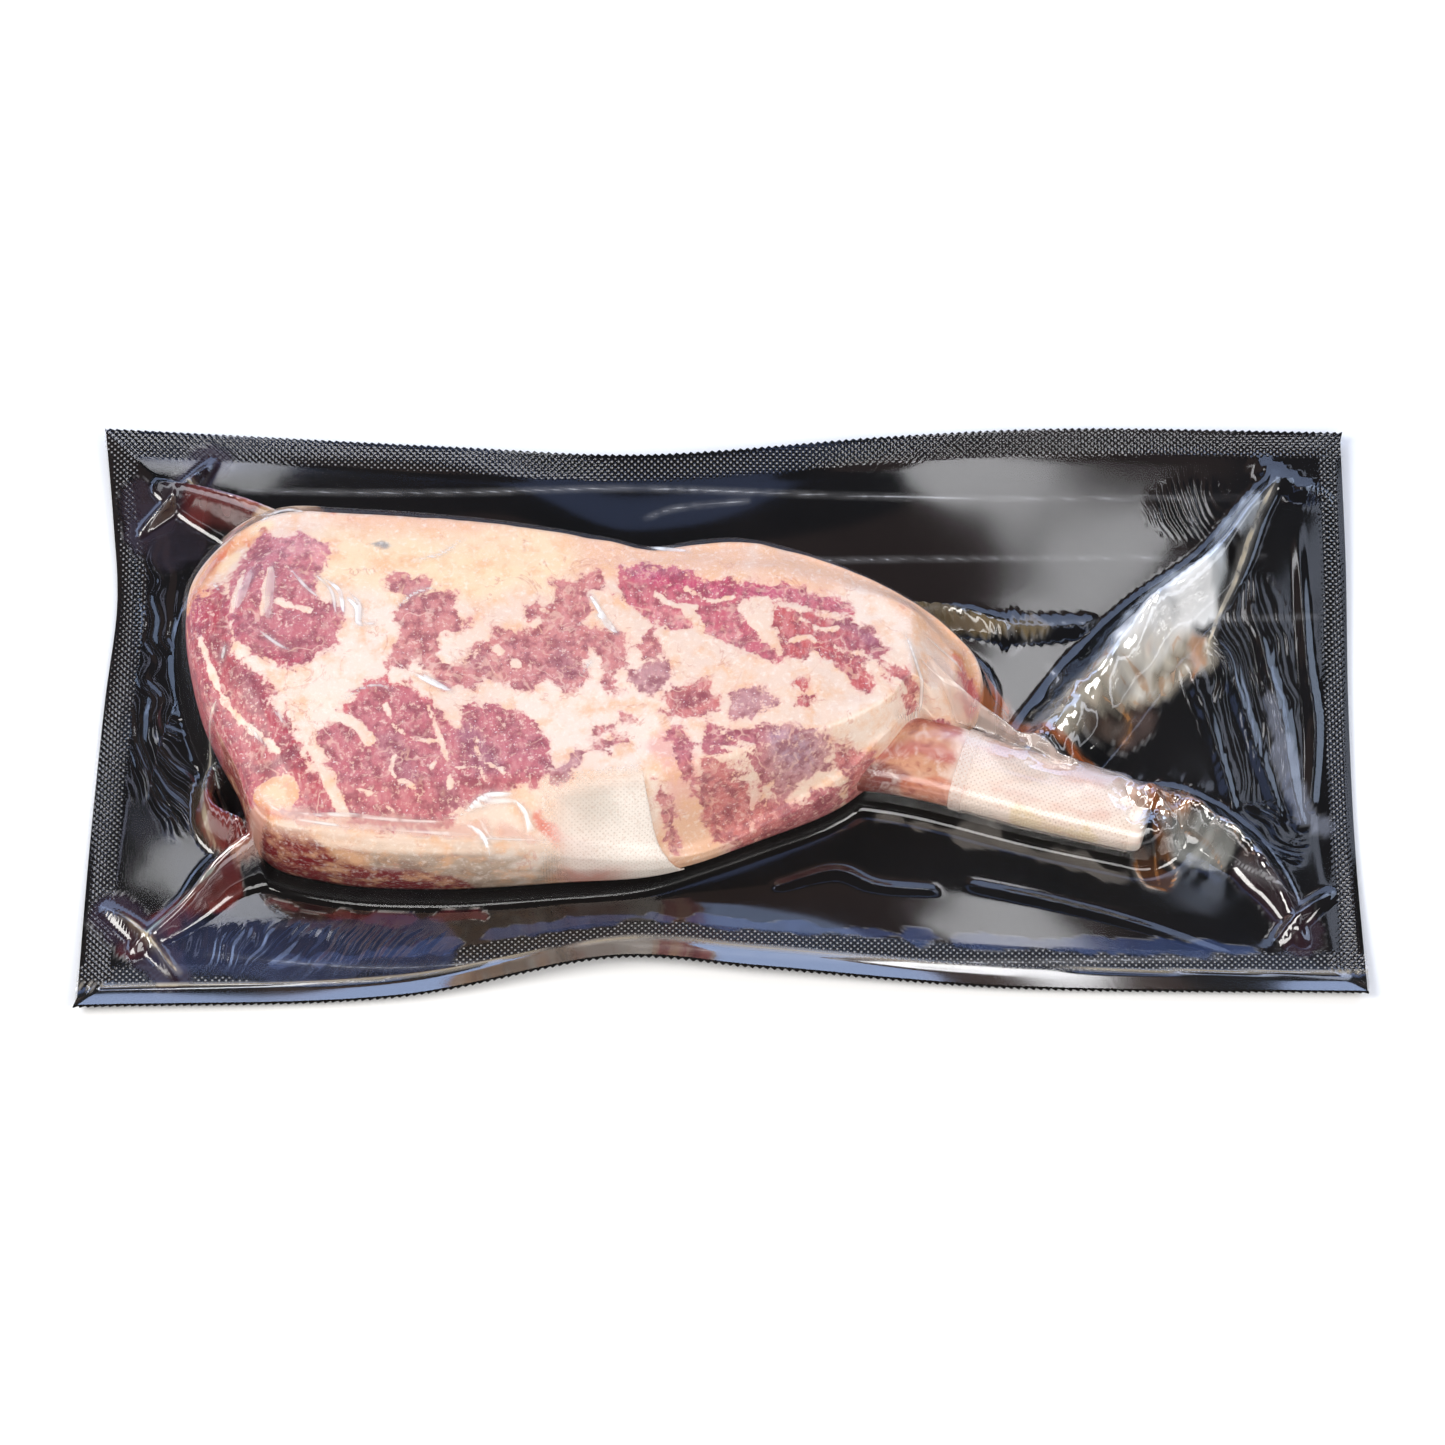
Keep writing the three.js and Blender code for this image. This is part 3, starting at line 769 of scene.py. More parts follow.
# Stains of juice and fat in the pack, and painted reflections and sheen on the clear film: colour, how much
# they cover, half-width and path
stainsAndSheens = {
    "farLeftPool": ("1d0c12", 0.86, 13, [[-226, 92], [-216, 78]]),
    "farLeftStem": ("6a2422", 0.9, 8, [[-212, 97], [-192, 88], [-178, 80]]),
    "farLeftWeb": ("b8705e", 0.6, 5, [[-186, 86], [-170, 77]]),
    "nearLeftStem": ("6a241f", 0.86, 6, [[-222, -102], [-204, -87], [-188, -76]]),
    "nearLeftRoot": ("d8a08a", 0.5, 4, [[-184, -70], [-176, -66]]),
    "cornerCrinkle": ("e6c29c", 0.72, 4.5, [[-194, 64], [-184, 71], [-172, 74], [-160, 74]]),
    "nearLeftEnd": ("24101c", 0.93, 8, [[-233, -88], [-220, -100], [-208, -115]]),
    "farLeftEnd": ("20101a", 0.93, 8, [[-202, 112], [-214, 98], [-227, 84]]),
    "nearLeftFin": ("3a2c20", 0.8, 4, [[-201, -38], [-200, -48], [-195, -56]]),
    "finRed": ("7c2420", 0.9, 4, [[-197, -46], [-190, -58], [-184, -64]]),
    "nearWallJuice": ("3e0a11", 0.92, 2.2, [[-172, -82], [-158, -87], [-135, -90], [-112, -90],
        [-92, -88]]),
    "nearRightEnd": ("2a161d", 0.8, 8, [[202, -72], [212, -84], [220, -98]]),
    "ribRoot": ("c8743c", 0.55, 4, [[104, 2], [112, -8], [124, -16], [142, -25]]),
    "ribEnd": ("c07a44", 0.22, 3, [[166, -42], [170, -50], [168, -60]]),
    # Painted reflection: a silvery sheen and a white highlight over the far right fold
    "farPaintedSilver": ("e2e7ea", 0.6, 11, [[154, 16], [172, 42], [184, 56]]),
    "farPaintedSilverTip": ("dfe6ee", 0.55, 4.5, [[184, 56], [197, 75], [207, 91]]),
    "farPaintedSheen": ("ffffff", 0.96, 9, [[160, 26], [172, 38], [184, 50]]),
    "farCrumple": ("e3d8c4", 0.5, 9, [[130, -10], [146, 6], [168, 18], [182, 26]]),
    "farBrown": ("4c3a30", 0.7, 6, [[144, -8], [156, -10], [162, -4]]),
    "farAmber": ("c47a3c", 0.5, 2.2, [[182, 16], [186, 24], [184, 32]]),
    "nearFacets": ("b0703a", 0.62, 8, [[164, -44], [172, -46], [176, -44]]),
    # Painted reflection: a silvery sheen on the near right fold
    "nearPaintedSilver": ("c4c5c0", 0.42, 7, [[174, -54], [188, -62]]),
    "nearTip": ("a8683a", 0.12, 2, [[160, -70], [168, -74]]),
    "rimVeil": ("e9b8a8", 0.4, 2.2, [[-168, -65], [-150, -69], [-112, -72], [-74, -72]]),
    # Milky haze and a painted highlight along the ridge of the film web over the bone
    "webHazeAndHighlight": ("f2dcd0", 0.34, 5, [[84, 0], [104, -15], [134, -32], [156, -44]]),
    "sideWeb": ("9a8560", 0.5, 3.5, [[76, 41], [92, 40], [108, 38], [124, 39]]),
    # Painted reflection: a pale blue-grey swoosh on the open film at the right
    "swooshReflection": ("b4b8c6", 0.26, 4, [[212, 6], [216, -18], [222, -40], [230, -52]]),
    # Painted reflections of a blue sky along the near edge and over the low left corner
    "nearBlueReflection": ("34456e", 0.5, 2.0, [[-170, -110], [-120, -105], [-80, -97], [-39, -90], [14, -94],
        [105, -101], [200, -104]]),
    "lowLeftBlueReflection": ("3b4468", 0.34, 13, [[-206, -102], [-160, -104], [-115, -101]]),
    "boneEdge": ("cfc6bd", 0.14, 2.5, [[62, -46], [100, -56], [130, -65], [154, -72]]),
}
# Fine streaks where the film folds or holds fat: colour, cover, half-width and paths. The white, cream, pale
# blue-green, light grey and pale blue groups are painted highlights along creases and fold ridges of the
# film; the orange, pink, amber and rust groups are fat and juice.
streaksAndGlints = [
    # Painted highlights: white glints along film creases over the meat
    ("f4eee8", 0.7, 0.55, [
        [[-177, 10], [-170, 4], [-165, 1]], [[-166, 38], [-160, 30], [-155, 25]],
        [[-156, 35], [-150, 28], [-148, 18]], [[-143, 27], [-139, 22], [-138, 14], [-133, 13]],
        [[-143, -20], [-138, -16], [-131, -14], [-126, -16]], [[-114, -9], [-108, -13], [-103, -16]],
        [[-125, 20], [-118, 27], [-110, 30]], [[-51, 27], [-46, 19], [-40, 10]], [[-190, 5], [-191, -1]],
        [[-196, 35], [-193, 30]], [[-118, 42], [-108, 45], [-100, 52]],
        [[-100, -68], [-95, -65], [-88, -63], [-78, -62]], [[-92, -68], [-88, -73]],
        [[-75, -66], [-71, -70]], [[70, 12], [74, 0], [76, -10], [67, -19]], [[-28, 50], [-13, 48]],
        [[78, 14], [86, 10], [93, 4]], [[-50, -2], [-54, -9]], [[-180, -30], [-172, -40]],
        [[-170, -25], [-166, -31]], [[-190, 62], [-184, 66], [-176, 67]],
        [[-182, 58], [-178, 64], [-170, 68], [-160, 66]],
    ]),
    # Painted highlights: brighter white glints and glows over the meat
    ("ffffff", 0.85, 0.8, [
        [[-152, 33], [-147, 28], [-145, 18]], [[-144, 25], [-140, 20], [-139, 13], [-134, 13]],
        [[-117, -9], [-110, -13], [-104, -16]], [[-51, 27], [-47, 20], [-44, 13], [-40, 10]],
        [[-48, 18], [-44, 16]], [[-97, -66], [-90, -61], [-78, -60]], [[-97, -70], [-91, -73], [-88, -79]],
        [[-78, -62], [-74, -66], [-73, -72]], [[-28, 50], [-14, 48]],
    ]),
    ("c0512a", 0.6, 0.7, [
        [[-193, 54], [-187, 62], [-180, 66]], [[-206, 25], [-201, 36], [-194, 50]],
    ]),
    # Painted highlights: white lines along the film's fold over the near rim and along the web's ridge over
    # the bone
    ("fbf1e8", 0.75, 0.7, [
        [[-176, -56], [-166, -65], [-140, -68], [-112, -70], [-100, -68]],
        [[-168, -67], [-150, -71], [-112, -73.5], [-90, -74], [-68, -73]],
        [[76, 2], [95, -8], [115, -19], [140, -31], [160, -43]],
    ]),
    ("e2a9a8", 0.6, 1.6, [
        [[-181, 38], [-186, 20]], [[-173, 40], [-174, 15]],
    ]),
    # Painted highlights: cream lines along the ridges of the corner folds, the fin and the far right fold
    ("e6d5b4", 0.8, 0.8, [
        [[-212, 102], [-208, 101], [-190, 96], [-170, 87]], [[-228, -90], [-218, -101], [-206, -114]],
        [[-193, -17], [-199, -36], [-197, -54], [-190, -66]],
        [[186, 20], [192, 40], [200, 58], [209, 84], [218, 104]],
    ]),
    # Painted highlight: a pale blue-green line along the near left stem
    ("b9cfc4", 0.6, 1.4, [
        [[-219, -99], [-206, -87], [-192, -75]],
    ]),
    ("c98c4c", 0.62, 0.7, [
        [[130, -8], [138, 5], [146, 15], [150, 22]],
        [[143, 12], [152, 15], [163, 14], [172, 16], [178, 22], [180, 30]],
        [[146, 6], [156, 9], [168, 11], [178, 17], [186, 21]],
        [[178, 22], [175, 28], [180, 33], [186, 30], [187, 21]], [[150, 0], [158, 3], [166, 6], [180, 13]],
        [[140, -4], [147, 0], [157, -3], [157, -10], [150, -18]], [[128, -8], [133, -2], [142, 7]],
        [[163, -40], [170, -34]], [[163, -42], [178, -44]], [[163, -46], [176, -54]],
        [[170, -34], [178, -44], [190, -54], [200, -66]], [[157, -66], [161, -76]], [[161, -76], [170, -78]],
        [[170, -78], [174, -70]], [[174, -70], [168, -62]], [[165, -66], [167, -77]],
        [[168, -52], [184, -58], [192, -70]],
    ]),
    ("b4521c", 0.75, 1.5, [
        [[112, -8], [125, -15], [140, -24]], [[98, 22], [106, 8], [116, -6]], [[162, -40], [166, -52]],
    ]),
    # Painted highlights: light grey glints on the right folds and the far side web
    ("e9e9ec", 0.5, 0.6, [
        [[168, -50], [180, -57], [191, -64]], [[172, -60], [184, -66]], [[195, -66], [210, -78], [222, -84]],
        [[126, 22], [130, 14], [127, 10]], [[112, 26], [120, 33], [128, 38]],
        [[108, 38], [126, 40], [146, 41]],
    ]),
    # Painted highlights: pale blue lines along the long creases of the open film
    ("dfe4ee", 0.5, 0.25, [
        [[-190, 101], [-120, 100], [-40, 101], [70, 98], [205, 97]], [[20, 69], [90, 70], [212, 70]],
        [[-40, -104], [60, -110], [190, -108]], [[-196, -106], [-130, -112], [-90, -110]],
        [[186, 42], [232, 43]], [[-30, 88], [-20, 92], [10, 96]], [[168, 92], [176, 78]],
        [[182, 98], [186, 80]],
    ]),
]


def stainAndSheenFields(x, y, bunch):
    # Colour and cover of the stains and painted sheens: each fades out past its half-width over softEdge
    # millimetres at most, later ones lie over earlier ones, a mottle breaks them up, and where the film is
    # bunched its facets carry more or less of them, so the painted sheen there breaks up by facet like
    # glints.
    softEdge, fullest = 3.4, 0.96
    cover = np.zeros_like(x)
    colour = np.broadcast_to(linear("d9d6d2"), (*x.shape, 3)).copy()
    wobble = 2.5 * latticeNoise(x, y, 9, 41) + 1.4 * latticeNoise(x, y, 3.5, 42)
    mottle = 0.95 + 0.16 * latticeNoise(x, y, 5, 43) + 0.12 * latticeNoise(x, y, 2.6, 44)
    mottle *= between(1.0, 0.15 + 1.7 * creasedNoise(x, y, 6, 45), bunch)
    for code, strength, width, path in stainsAndSheens.values():
        distance, _, _ = towards(x, y, smoothPath(path, perSpan=6))
        here = strength * smooth((width + wobble - distance) / min(0.45 * width, softEdge) + 0.5) * mottle
        both = here + cover * (1 - here)
        colour = tinted(colour, code, here / np.maximum(both, 1e-6))
        cover = both
    return colour, np.clip(cover, 0, fullest)


def streakAndGlintFields(x, y):
    # The nearest streak's colour and cover, and the distance past its half-width in millimetres; a streak
    # thins towards its ends and breaks up along its way.
    streakMargin = 5.0
    gap = np.full(x.shape, 4.0)
    cover = np.zeros_like(x)
    colour = np.ones((*x.shape, 3))
    dash = 0.5 + 0.5 * smooth(1.6 * latticeNoise(x, y, 7, 47) + 1.2 * latticeNoise(x, y, 2.5, 48) + 0.9)
    for code, strength, width, paths in streaksAndGlints:
        for path in paths:
            near = nearPath(x, y, path, streakMargin)
            distance, share, _ = towards(x[near], y[near], smoothPath(path, perSpan=8))
            past = distance - width * np.sqrt(np.clip(4 * share * (1 - share), 0.02, 1))
            closer = past < gap[near]
            gap[near] = np.where(closer, past, gap[near])
            cover[near] = np.where(closer, strength, cover[near])
            colour[near] = np.where(closer[:, None], linear(code), colour[near])
    return gap, cover * dash, colour


# Rippled stretches of film: middle, half-sizes, direction across the ripples in degrees, depth
ripples = {
    "left": {"at": (-224, 22), "half": (15, 56), "turn": 4, "depth": 1.0},
    "lowLeft": {"at": (-150, -104), "half": (58, 13), "turn": 148, "depth": 1.0},
    "lowLeftInner": {"at": (-208, -22), "half": (13, 32), "turn": 40, "depth": 0.9},
    "right": {"at": (206, 10), "half": (18, 50), "turn": 8, "depth": 0.45},
    "rightLow": {"at": (208, -56), "half": (16, 16), "turn": 60, "depth": 0.8},
    "farRightTop": {"at": (184, 92), "half": (18, 14), "turn": 20, "depth": 0.35},
}


def rippleFields(x, y):
    # Lane across the ripples, in millimetres, and their depth; each patch fades out to its half-sizes.
    lane = np.zeros_like(x)
    depth = np.zeros_like(x)
    warp = 5 * latticeNoise(x, y, 26, 51) + 2 * latticeNoise(x, y, 9, 52)
    for patch in ripples.values():
        turn = math.radians(patch["turn"])
        dx, dy = x - patch["at"][0], y - patch["at"][1]
        away = np.hypot(dx / patch["half"][0], dy / patch["half"][1])
        here = patch["depth"] * smooth((1.15 - away) / 0.5)
        local = dx * math.cos(turn) + dy * math.sin(turn) + warp
        lane = np.where(here > depth, local, lane)
        depth = np.maximum(depth, here)
    return lane, depth * (0.7 + 0.5 * latticeNoise(x, y, 12, 53))


def netFields(x, y):
    # How strongly the seal's net shows, from the distances to the pack's four edges, then the thin line and
    # the smooth flange outside the net of the near edge.
    net = np.zeros_like(x)
    for name, (low, high) in packForm["netBands"].items():
        distance, _, _ = towards(x, y, smoothPath(packForm[name], perSpan=10)[:, :2])
        band = smooth((distance - low) / 0.9 + 0.5) * smooth((high - distance) / 0.9 + 0.5)
        net = np.maximum(net, band)
        if name == "near":
            flange = smooth((low - 0.6 - distance) / 0.9 + 0.5) * (y < 0)
            rule = smooth(1.6 - 1.8 * np.abs(distance - low + 0.4))
    return net * (1 - flange), rule, flange


def gripField(x, y, rise, bunch, lifted):
    # How tightly the film lies on what is under it, from 0 to 1: fully over the meat, partly over other high
    # places, and not where it is bunched nor in the loose folds that leave the meat.
    past = meatShare(x, y)[2]
    gripped = smooth((7 - past) / 4) * (1 - bunch)
    gripped = np.maximum(gripped, 0.6 * smooth((rise - 9) / 5) * (1 - bunch) * (lifted > 0.5))
    for name in looseFolds:
        gripped *= 1 - smooth(foldHeight(x, y, folds[name]) / 4) * smooth(past / 3)
    return gripped


def makeFilm():
    # The film's height is the smooth maximum of the open film, the film over the meat, the film over the rib
    # and each fold. Creases are added where it is bunched, ripples and slow waves where it is open. Its
    # points carry the stains and painted sheens, the streaks and painted highlights, the ripples' lanes, the
    # net, the grip and how its layers reflect.
    places = placesRound()
    plan, fromInner, inset, outer = filmGrid(places)
    x, y = plan[..., 0], plan[..., 1]
    base = packForm["backFilm"] + packForm["filmGap"] + outer[:, 2] * fromInner ** 2
    height = smoothMax(meatFilm(x, y), base, filmForm["valley"])
    height = smoothMax(ribFilm(x, y), height, filmForm["valley"])
    for ridge in folds.values():
        height = smoothMax(foldHeight(x, y, ridge), height, filmForm["foldValley"])
    bunch = np.zeros_like(x)
    for path, reach, edge in bunches.values():
        bunch = np.maximum(bunch, smooth((reach - towards(x, y, smoothPath(path))[0]) / edge))
    lifted = np.clip((height - base) / filmForm["fullLift"], 0, 1)
    for size, rise, seed in creases:
        height += bunch * lifted * rise * (creasedNoise(x, y, size, seed) - 0.5)
    openFilm = smooth((inset - 8) / 8) * (1 - lifted)
    lane, depth = rippleFields(x, y)
    ripple, wave = filmForm["ripple"], filmForm["wave"]
    crest = 0.5 + 0.5 * np.sin(lane * 2 * math.pi / ripple["length"])
    height += openFilm * depth * ripple["height"] * crest
    height += openFilm * wave["height"] * (1 + latticeNoise(x, y, wave["length"], 71))
    gripped = gripField(x, y, height - base, bunch, lifted)
    height = np.maximum(height, base)
    net, rule, flange = netFields(x, y)
    height += filmForm["rule"]["height"] * rule
    gripped = np.maximum(gripped, 0.95 * net * (y < 0) * (np.abs(x) < 230))
    points = np.stack([x, y, height], axis=-1).reshape(-1, 3)
    faces = gridFaces(len(plan), len(places), True)
    colour, cover = stainAndSheenFields(x, y, bunch)
    colour = tinted(colour, filmForm["rule"]["colour"], rule)
    gap, streakGlintCover, streakGlintColour = streakAndGlintFields(x, y)
    layers = np.maximum(bunch, 0.5 * (1 - gripped)) * lifted
    values = {
        "cover": np.maximum(cover, filmForm["rule"]["cover"] * rule), "gap": gap, "streak": streakGlintCover,
        "lane": lane, "depth": depth * openFilm, "net": net, "gripped": gripped,
        "layers": np.maximum(layers, 0.9 * flange),
    }
    return writeMesh("frontFilm", points, faces, filmMaterial(), ["clear_film"], values,
                     {"stainAndSheen": colour, "streakGlintTint": streakGlintColour})


# The film's gloss head on, what layers add to it and grip takes off, its rise at grazing and its roughness;
# then the fine ripples' length and depth, the net's depth and the cover of its dots
filmGloss = {"plain": 0.075, "layers": 0.2, "grip": -0.045, "graze": 0.9, "grazeGrip": -0.75,
             "rough": 0.06, "roughGrip": 0.25, "fineLength": 2.9, "fineDepth": 0.07, "netDepth": 0.02,
             "netCover": 0.4}


def filmMaterial():
    # Clear film: see-through, with a sharp gloss that grows towards grazing by the fifth power of how far
    # the surface turns away, and the stains and painted sheens as a second skin. The seal's net and the fine
    # ripples are one bump, in millimetres. A streak, mostly a painted highlight, is a crisp core with a faint
    # halo.
    bench = NodeBench("clearFilm")
    place = bench.add("ShaderNodeSeparateXYZ", Vector=bench.place)
    pitch = packForm["netPitch"] * metre
    knots = bench.times(bench.wave(place.outputs["X"], pitch), bench.wave(place.outputs["Y"], pitch))
    net = bench.times(knots, bench.value("net"))
    fine = bench.times(bench.wave(bench.value("lane"), filmGloss["fineLength"]), bench.value("depth"))
    core = bench.ramp(bench.value("gap"), -0.3, 0.5, 1.0, 0.0)
    halo = bench.ramp(bench.value("gap"), -0.6, 2.4, 0.26, 0.0)
    streak = bench.times(bench.larger(core, halo), bench.value("streak"))
    height = bench.times(net, filmGloss["netDepth"])
    normal = bench.bump(bench.math("MULTIPLY_ADD", fine, filmGloss["fineDepth"], height), 1.0)
    away = bench.add("ShaderNodeLayerWeight", Blend=0.5, Normal=normal).outputs["Facing"]
    gripped = bench.value("gripped")
    gain = bench.math("MULTIPLY_ADD", bench.value("layers"), filmGloss["layers"], filmGloss["plain"])
    gain = bench.math("MULTIPLY_ADD", gripped, filmGloss["grip"], gain)
    graze = bench.math("MULTIPLY_ADD", gripped, filmGloss["grazeGrip"], filmGloss["graze"])
    share = bench.math("MULTIPLY_ADD", bench.math("POWER", away, 5.0), graze, gain)
    share = bench.math("MINIMUM", share, 1.0)
    rough = bench.math("MULTIPLY_ADD", gripped, filmGloss["roughGrip"], filmGloss["rough"])
    gloss = bench.add("ShaderNodeBsdfGlossy", Color=(1, 1, 1, 1), Roughness=rough, Normal=normal).outputs[0]
    dots = bench.times(bench.ramp(net, 0.3, 0.75), filmGloss["netCover"])
    cover = bench.larger(bench.larger(bench.value("cover"), dots), streak)
    tint = bench.mix(streak, bench.tint("stainAndSheen"), bench.tint("streakGlintTint"))
    body = bench.blend(cover, bench.clear(), bench.coat(tint, 0.3, normal))
    return bench.surface(bench.blend(share, body, gloss))


# The black back film

def makeBack():
    # A thin closed sheet on the same rays: flat under the contents, lifted towards the edge, with small
    # teeth along the far and near edges.
    perSide = (780, 90, 780, 90)
    places = np.concatenate([k + np.arange(count) / count for k, count in enumerate(perSide)])
    inner, outer = outlineAt(places)
    heart = heartOf(inner)
    span = outer[:, :2] - inner
    run = np.linalg.norm(span, axis=1, keepdims=True)
    side = np.floor(places).astype(int)
    lane = lengthsOf(outer) / packForm["toothPitch"]
    tooth = packForm["toothDepth"] * (np.abs(2 * (lane - np.floor(lane)) - 1) - 0.5) * (side % 2 == 0)
    edgePull = np.where(side % 2 == 0, 0.5, -0.9)
    rim = outer[:, :2] + span / run * (tooth + edgePull)[:, None]
    under, past = [0.0, 0.5, 1.0], [0.2, 0.4, 0.6, 0.8, 0.95]
    rows = [heart + (inner - heart) * share for share in under]
    rows += [inner + span * share for share in past] + [rim]
    lifts = [outer[:, 2] * share ** 2 for share in [0.0] * len(under) + past + [1.0]]
    level = packForm["backFilm"]
    plan, lift = np.array(rows), np.array(lifts)
    top = np.concatenate([plan, (level + lift)[..., None]], axis=-1)
    bottom = np.concatenate([plan, lift[..., None]], axis=-1)
    whole = np.concatenate([top, bottom[::-1]])
    faces = gridFaces(len(whole), len(places), True)
    return writeMesh("backSheet", whole.reshape(-1, 3), faces, backMaterial(), ["back_film"])


def backMaterial():
    # Black film with soft clouds in its colour and its roughness, and hardly any highlight of its own,
    # because the clear film over it gives the gloss.
    bench = NodeBench("blackBackFilm")
    colour = bench.mix(bench.ramp(bench.noise(60, 3), 0.3, 0.7), rgba("090808"), rgba("120f0e"))
    rough = bench.ramp(bench.noise(18, 2), 0.2, 0.8, 0.45, 0.6)
    normal = bench.bump(bench.noise(30, 3), 0.8, 0.5)
    return bench.surface(bench.coat(colour, rough, normal, 0.06))


# Lean muscle on the cut face: tone and outline, in millimetres
tones = {"rose": "bf6a71", "burgundy": "b05c66", "magenta": "c4606c", "purple": "ba898a", "deep": "c8726c",
         "blush": "dba79e", "dusty": "c97e7a", "red": "c25a58", "ruby": "b0424f"}
leanIslands = [
    ("rose", [[-190, 30], [-188, 36], [-178, 56], [-170, 56], [-158, 55], [-151, 50], [-152, 40],
        [-155, 36], [-158, 30], [-154, 24], [-146, 20], [-146, 12], [-148, 5], [-150, 1], [-158, -3],
        [-168, -6], [-176, -2], [-182, 4], [-187, 8]]),
    ("ruby", [[-212, 22], [-204, 26], [-192, 34], [-187, 10], [-184, -2], [-178, -9], [-174, -12],
        [-170, -21], [-165, -29], [-160, -39], [-156, -47], [-151, -57], [-145, -67], [-160, -66],
        [-180, -58], [-192, -46], [-204, -18]]),
    ("rose", [[-130, -11], [-122, -13], [-115, -17], [-110, -24], [-103, -29], [-100, -32], [-98, -25],
        [-94, -22], [-86, -21], [-81, -24], [-76, -27], [-72, -31], [-67, -37], [-65, -43], [-66, -50],
        [-70, -57], [-76, -56], [-82, -58], [-88, -60], [-96, -62], [-99, -66], [-104, -70], [-112, -72],
        [-125, -71], [-143, -69], [-145, -60], [-147, -52], [-150, -44], [-152, -37], [-149, -31],
        [-144, -24], [-141, -18], [-136, -13]]),
    ("dusty", [[-128, 34], [-122, 36], [-115, 34], [-112, 30], [-118, 27], [-125, 29]]),
    ("dusty", [[-125, 20], [-118, 27], [-112, 29.5], [-103, 29], [-101, 26], [-103, 22], [-100, 18],
        [-95, 17], [-99, 12], [-104, 10], [-108, 8], [-109, 0], [-110, -4], [-117, -1], [-122, -5],
        [-128, -4], [-127, 3], [-123, 10]]),
    ("dusty", [[-116, -2], [-113, -8], [-108, -12], [-103, -15], [-96, -13], [-90, -9], [-80, -13],
        [-77, -14], [-70, -14], [-68, -9], [-63, -11], [-60, -14], [-53, -12], [-52, -8], [-53, -3],
        [-50, 3], [-50, 10], [-53, 16], [-50, 20], [-52, 24], [-50, 29], [-44, 31], [-45, 35], [-50, 37],
        [-55, 35], [-60, 33], [-68, 34], [-65, 28], [-63, 23], [-69, 19], [-71, 23], [-75, 20], [-76, 12],
        [-82, 12], [-84, 12], [-90, 8], [-97, 0], [-102, -4], [-108, -1]]),
    ("dusty", [[-50, 14], [-46, 12], [-40, 12], [-36, 8], [-37, 0], [-38, -6], [-41, -10], [-40, -16],
        [-44, -15], [-46, -8], [-46, -2], [-49, 4]]),
    ("dusty", [[-30, 10], [-27, 11.5], [-24, 9], [-25, 3], [-26, -1], [-29, -2], [-31, 2]]),
    ("purple", [[-34, -7], [-33, -14], [-27, -17], [-22, -14], [-20, -10], [-22, -3], [-27, -2]]),
    ("deep", [[-23, -17], [-18, -16], [-12, -14], [-8, -12], [-4, -12], [-3, -17], [0, -21], [-4, -25],
        [-10, -27], [-17, -26], [-22, -25], [-21, -21]]),
    ("purple", [[5, -16], [9, -14], [14, -15], [17, -19], [21, -22], [16, -23], [12, -27], [7, -29],
        [3, -26], [4, -21]]),
    ("dusty", [[-35, -28], [-38, -26], [-43, -29], [-51, -37], [-46, -34]]),
    ("dusty", [[-47, -38], [-43, -35.5], [-39, -36], [-39, -39], [-44, -42], [-48, -41]]),
    ("purple", [[-54, -43], [-55, -50], [-65, -55], [-62, -48]]),
    ("magenta", [[-38, 40], [-34, 41], [-24, 40], [-18, 41], [-15, 38], [-11, 35.5], [3, 33], [20, 31.5],
        [27, 31.5], [35, 29.5], [42, 28], [45, 25], [49, 20.5], [46, 20], [38, 20], [30, 22], [20, 24],
        [18, 27], [12, 27], [8, 23], [7, 18], [10, 13], [15, 7], [19, 2], [21, -2], [17, -2], [11, 0],
        [6, 3], [0, 6], [-5, 9], [-11, 11], [-17, 11], [-24, 14], [-30, 18], [-33, 22], [-38, 26],
        [-41, 33]]),
    ("red", [[20, 20], [28, 20], [38, 18], [46, 18], [52, 15], [48, 8], [42, 5], [36, 3], [30, -2],
        [24, 1], [22, 8]]),
    ("burgundy", [[50, 13], [57, 13], [61, 8], [63, 1], [57, 1], [50, 3], [44, 5], [41, 9]]),
    ("red", [[36, 8], [42, 4], [50, 3], [56, 1], [52, -2], [57, -9], [56, -14], [52, -12], [48, -7],
        [44, -3], [38, 0]]),
    ("deep", [[60, 0], [68, -2], [74, -8], [76, -16], [70, -14], [64, -8]]),
    ("purple", [[14, -35], [20, -31], [33, -31.5], [40, -33], [41, -37], [36, -41], [30, -43], [24, -48],
        [18, -46], [14, -42]]),
    ("rose", [[-6, -33], [2, -32], [10, -34], [12, -40], [6, -44], [-2, -43], [-6, -40]]),
    ("deep", [[-8, -46], [-2, -45], [4, -47], [8, -49], [11, -53], [9, -58], [4, -62], [-3, -60],
        [-8, -56]]),
    ("rose", [[-19, -31], [-15, -33], [-12, -38], [-11, -46], [-10, -53], [-15, -50], [-18, -44],
        [-20, -37]]),
    ("deep", [[11, -47], [18, -50], [23, -54], [18, -59], [12, -60]]),
    ("burgundy", [[18, -50], [28, -48], [36, -45], [44, -43], [60, -40], [50, -46], [44, -49], [36, -52],
        [28, -55], [22, -58]]),
    ("deep", [[43, -35], [52, -33], [60, -33], [60, -40], [48, -42]]),
    ("burgundy", [[72, -14], [85, -14], [90, -18], [84, -22], [74, -20]]),
    ("red", [[93, 6], [98, 4], [99, -4], [97, -12], [93, -8]]),
    ("dusty", [[-25, -53], [-21, -55], [-17, -62], [-18, -68], [-21, -65], [-23, -59]]),
    ("burgundy", [[-6, -31], [6, -31], [16, -33], [18, -46], [8, -45], [-4, -44], [-8, -38]]),
    ("deep", [[-8, -46], [6, -47], [14, -48], [24, -50], [34, -48], [46, -46], [56, -42], [44, -50],
        [30, -57], [16, -63], [2, -61], [-6, -56]]),
    ("red", [[28, -12], [31, -13], [34, -19], [29, -21], [28, -17]]),
]
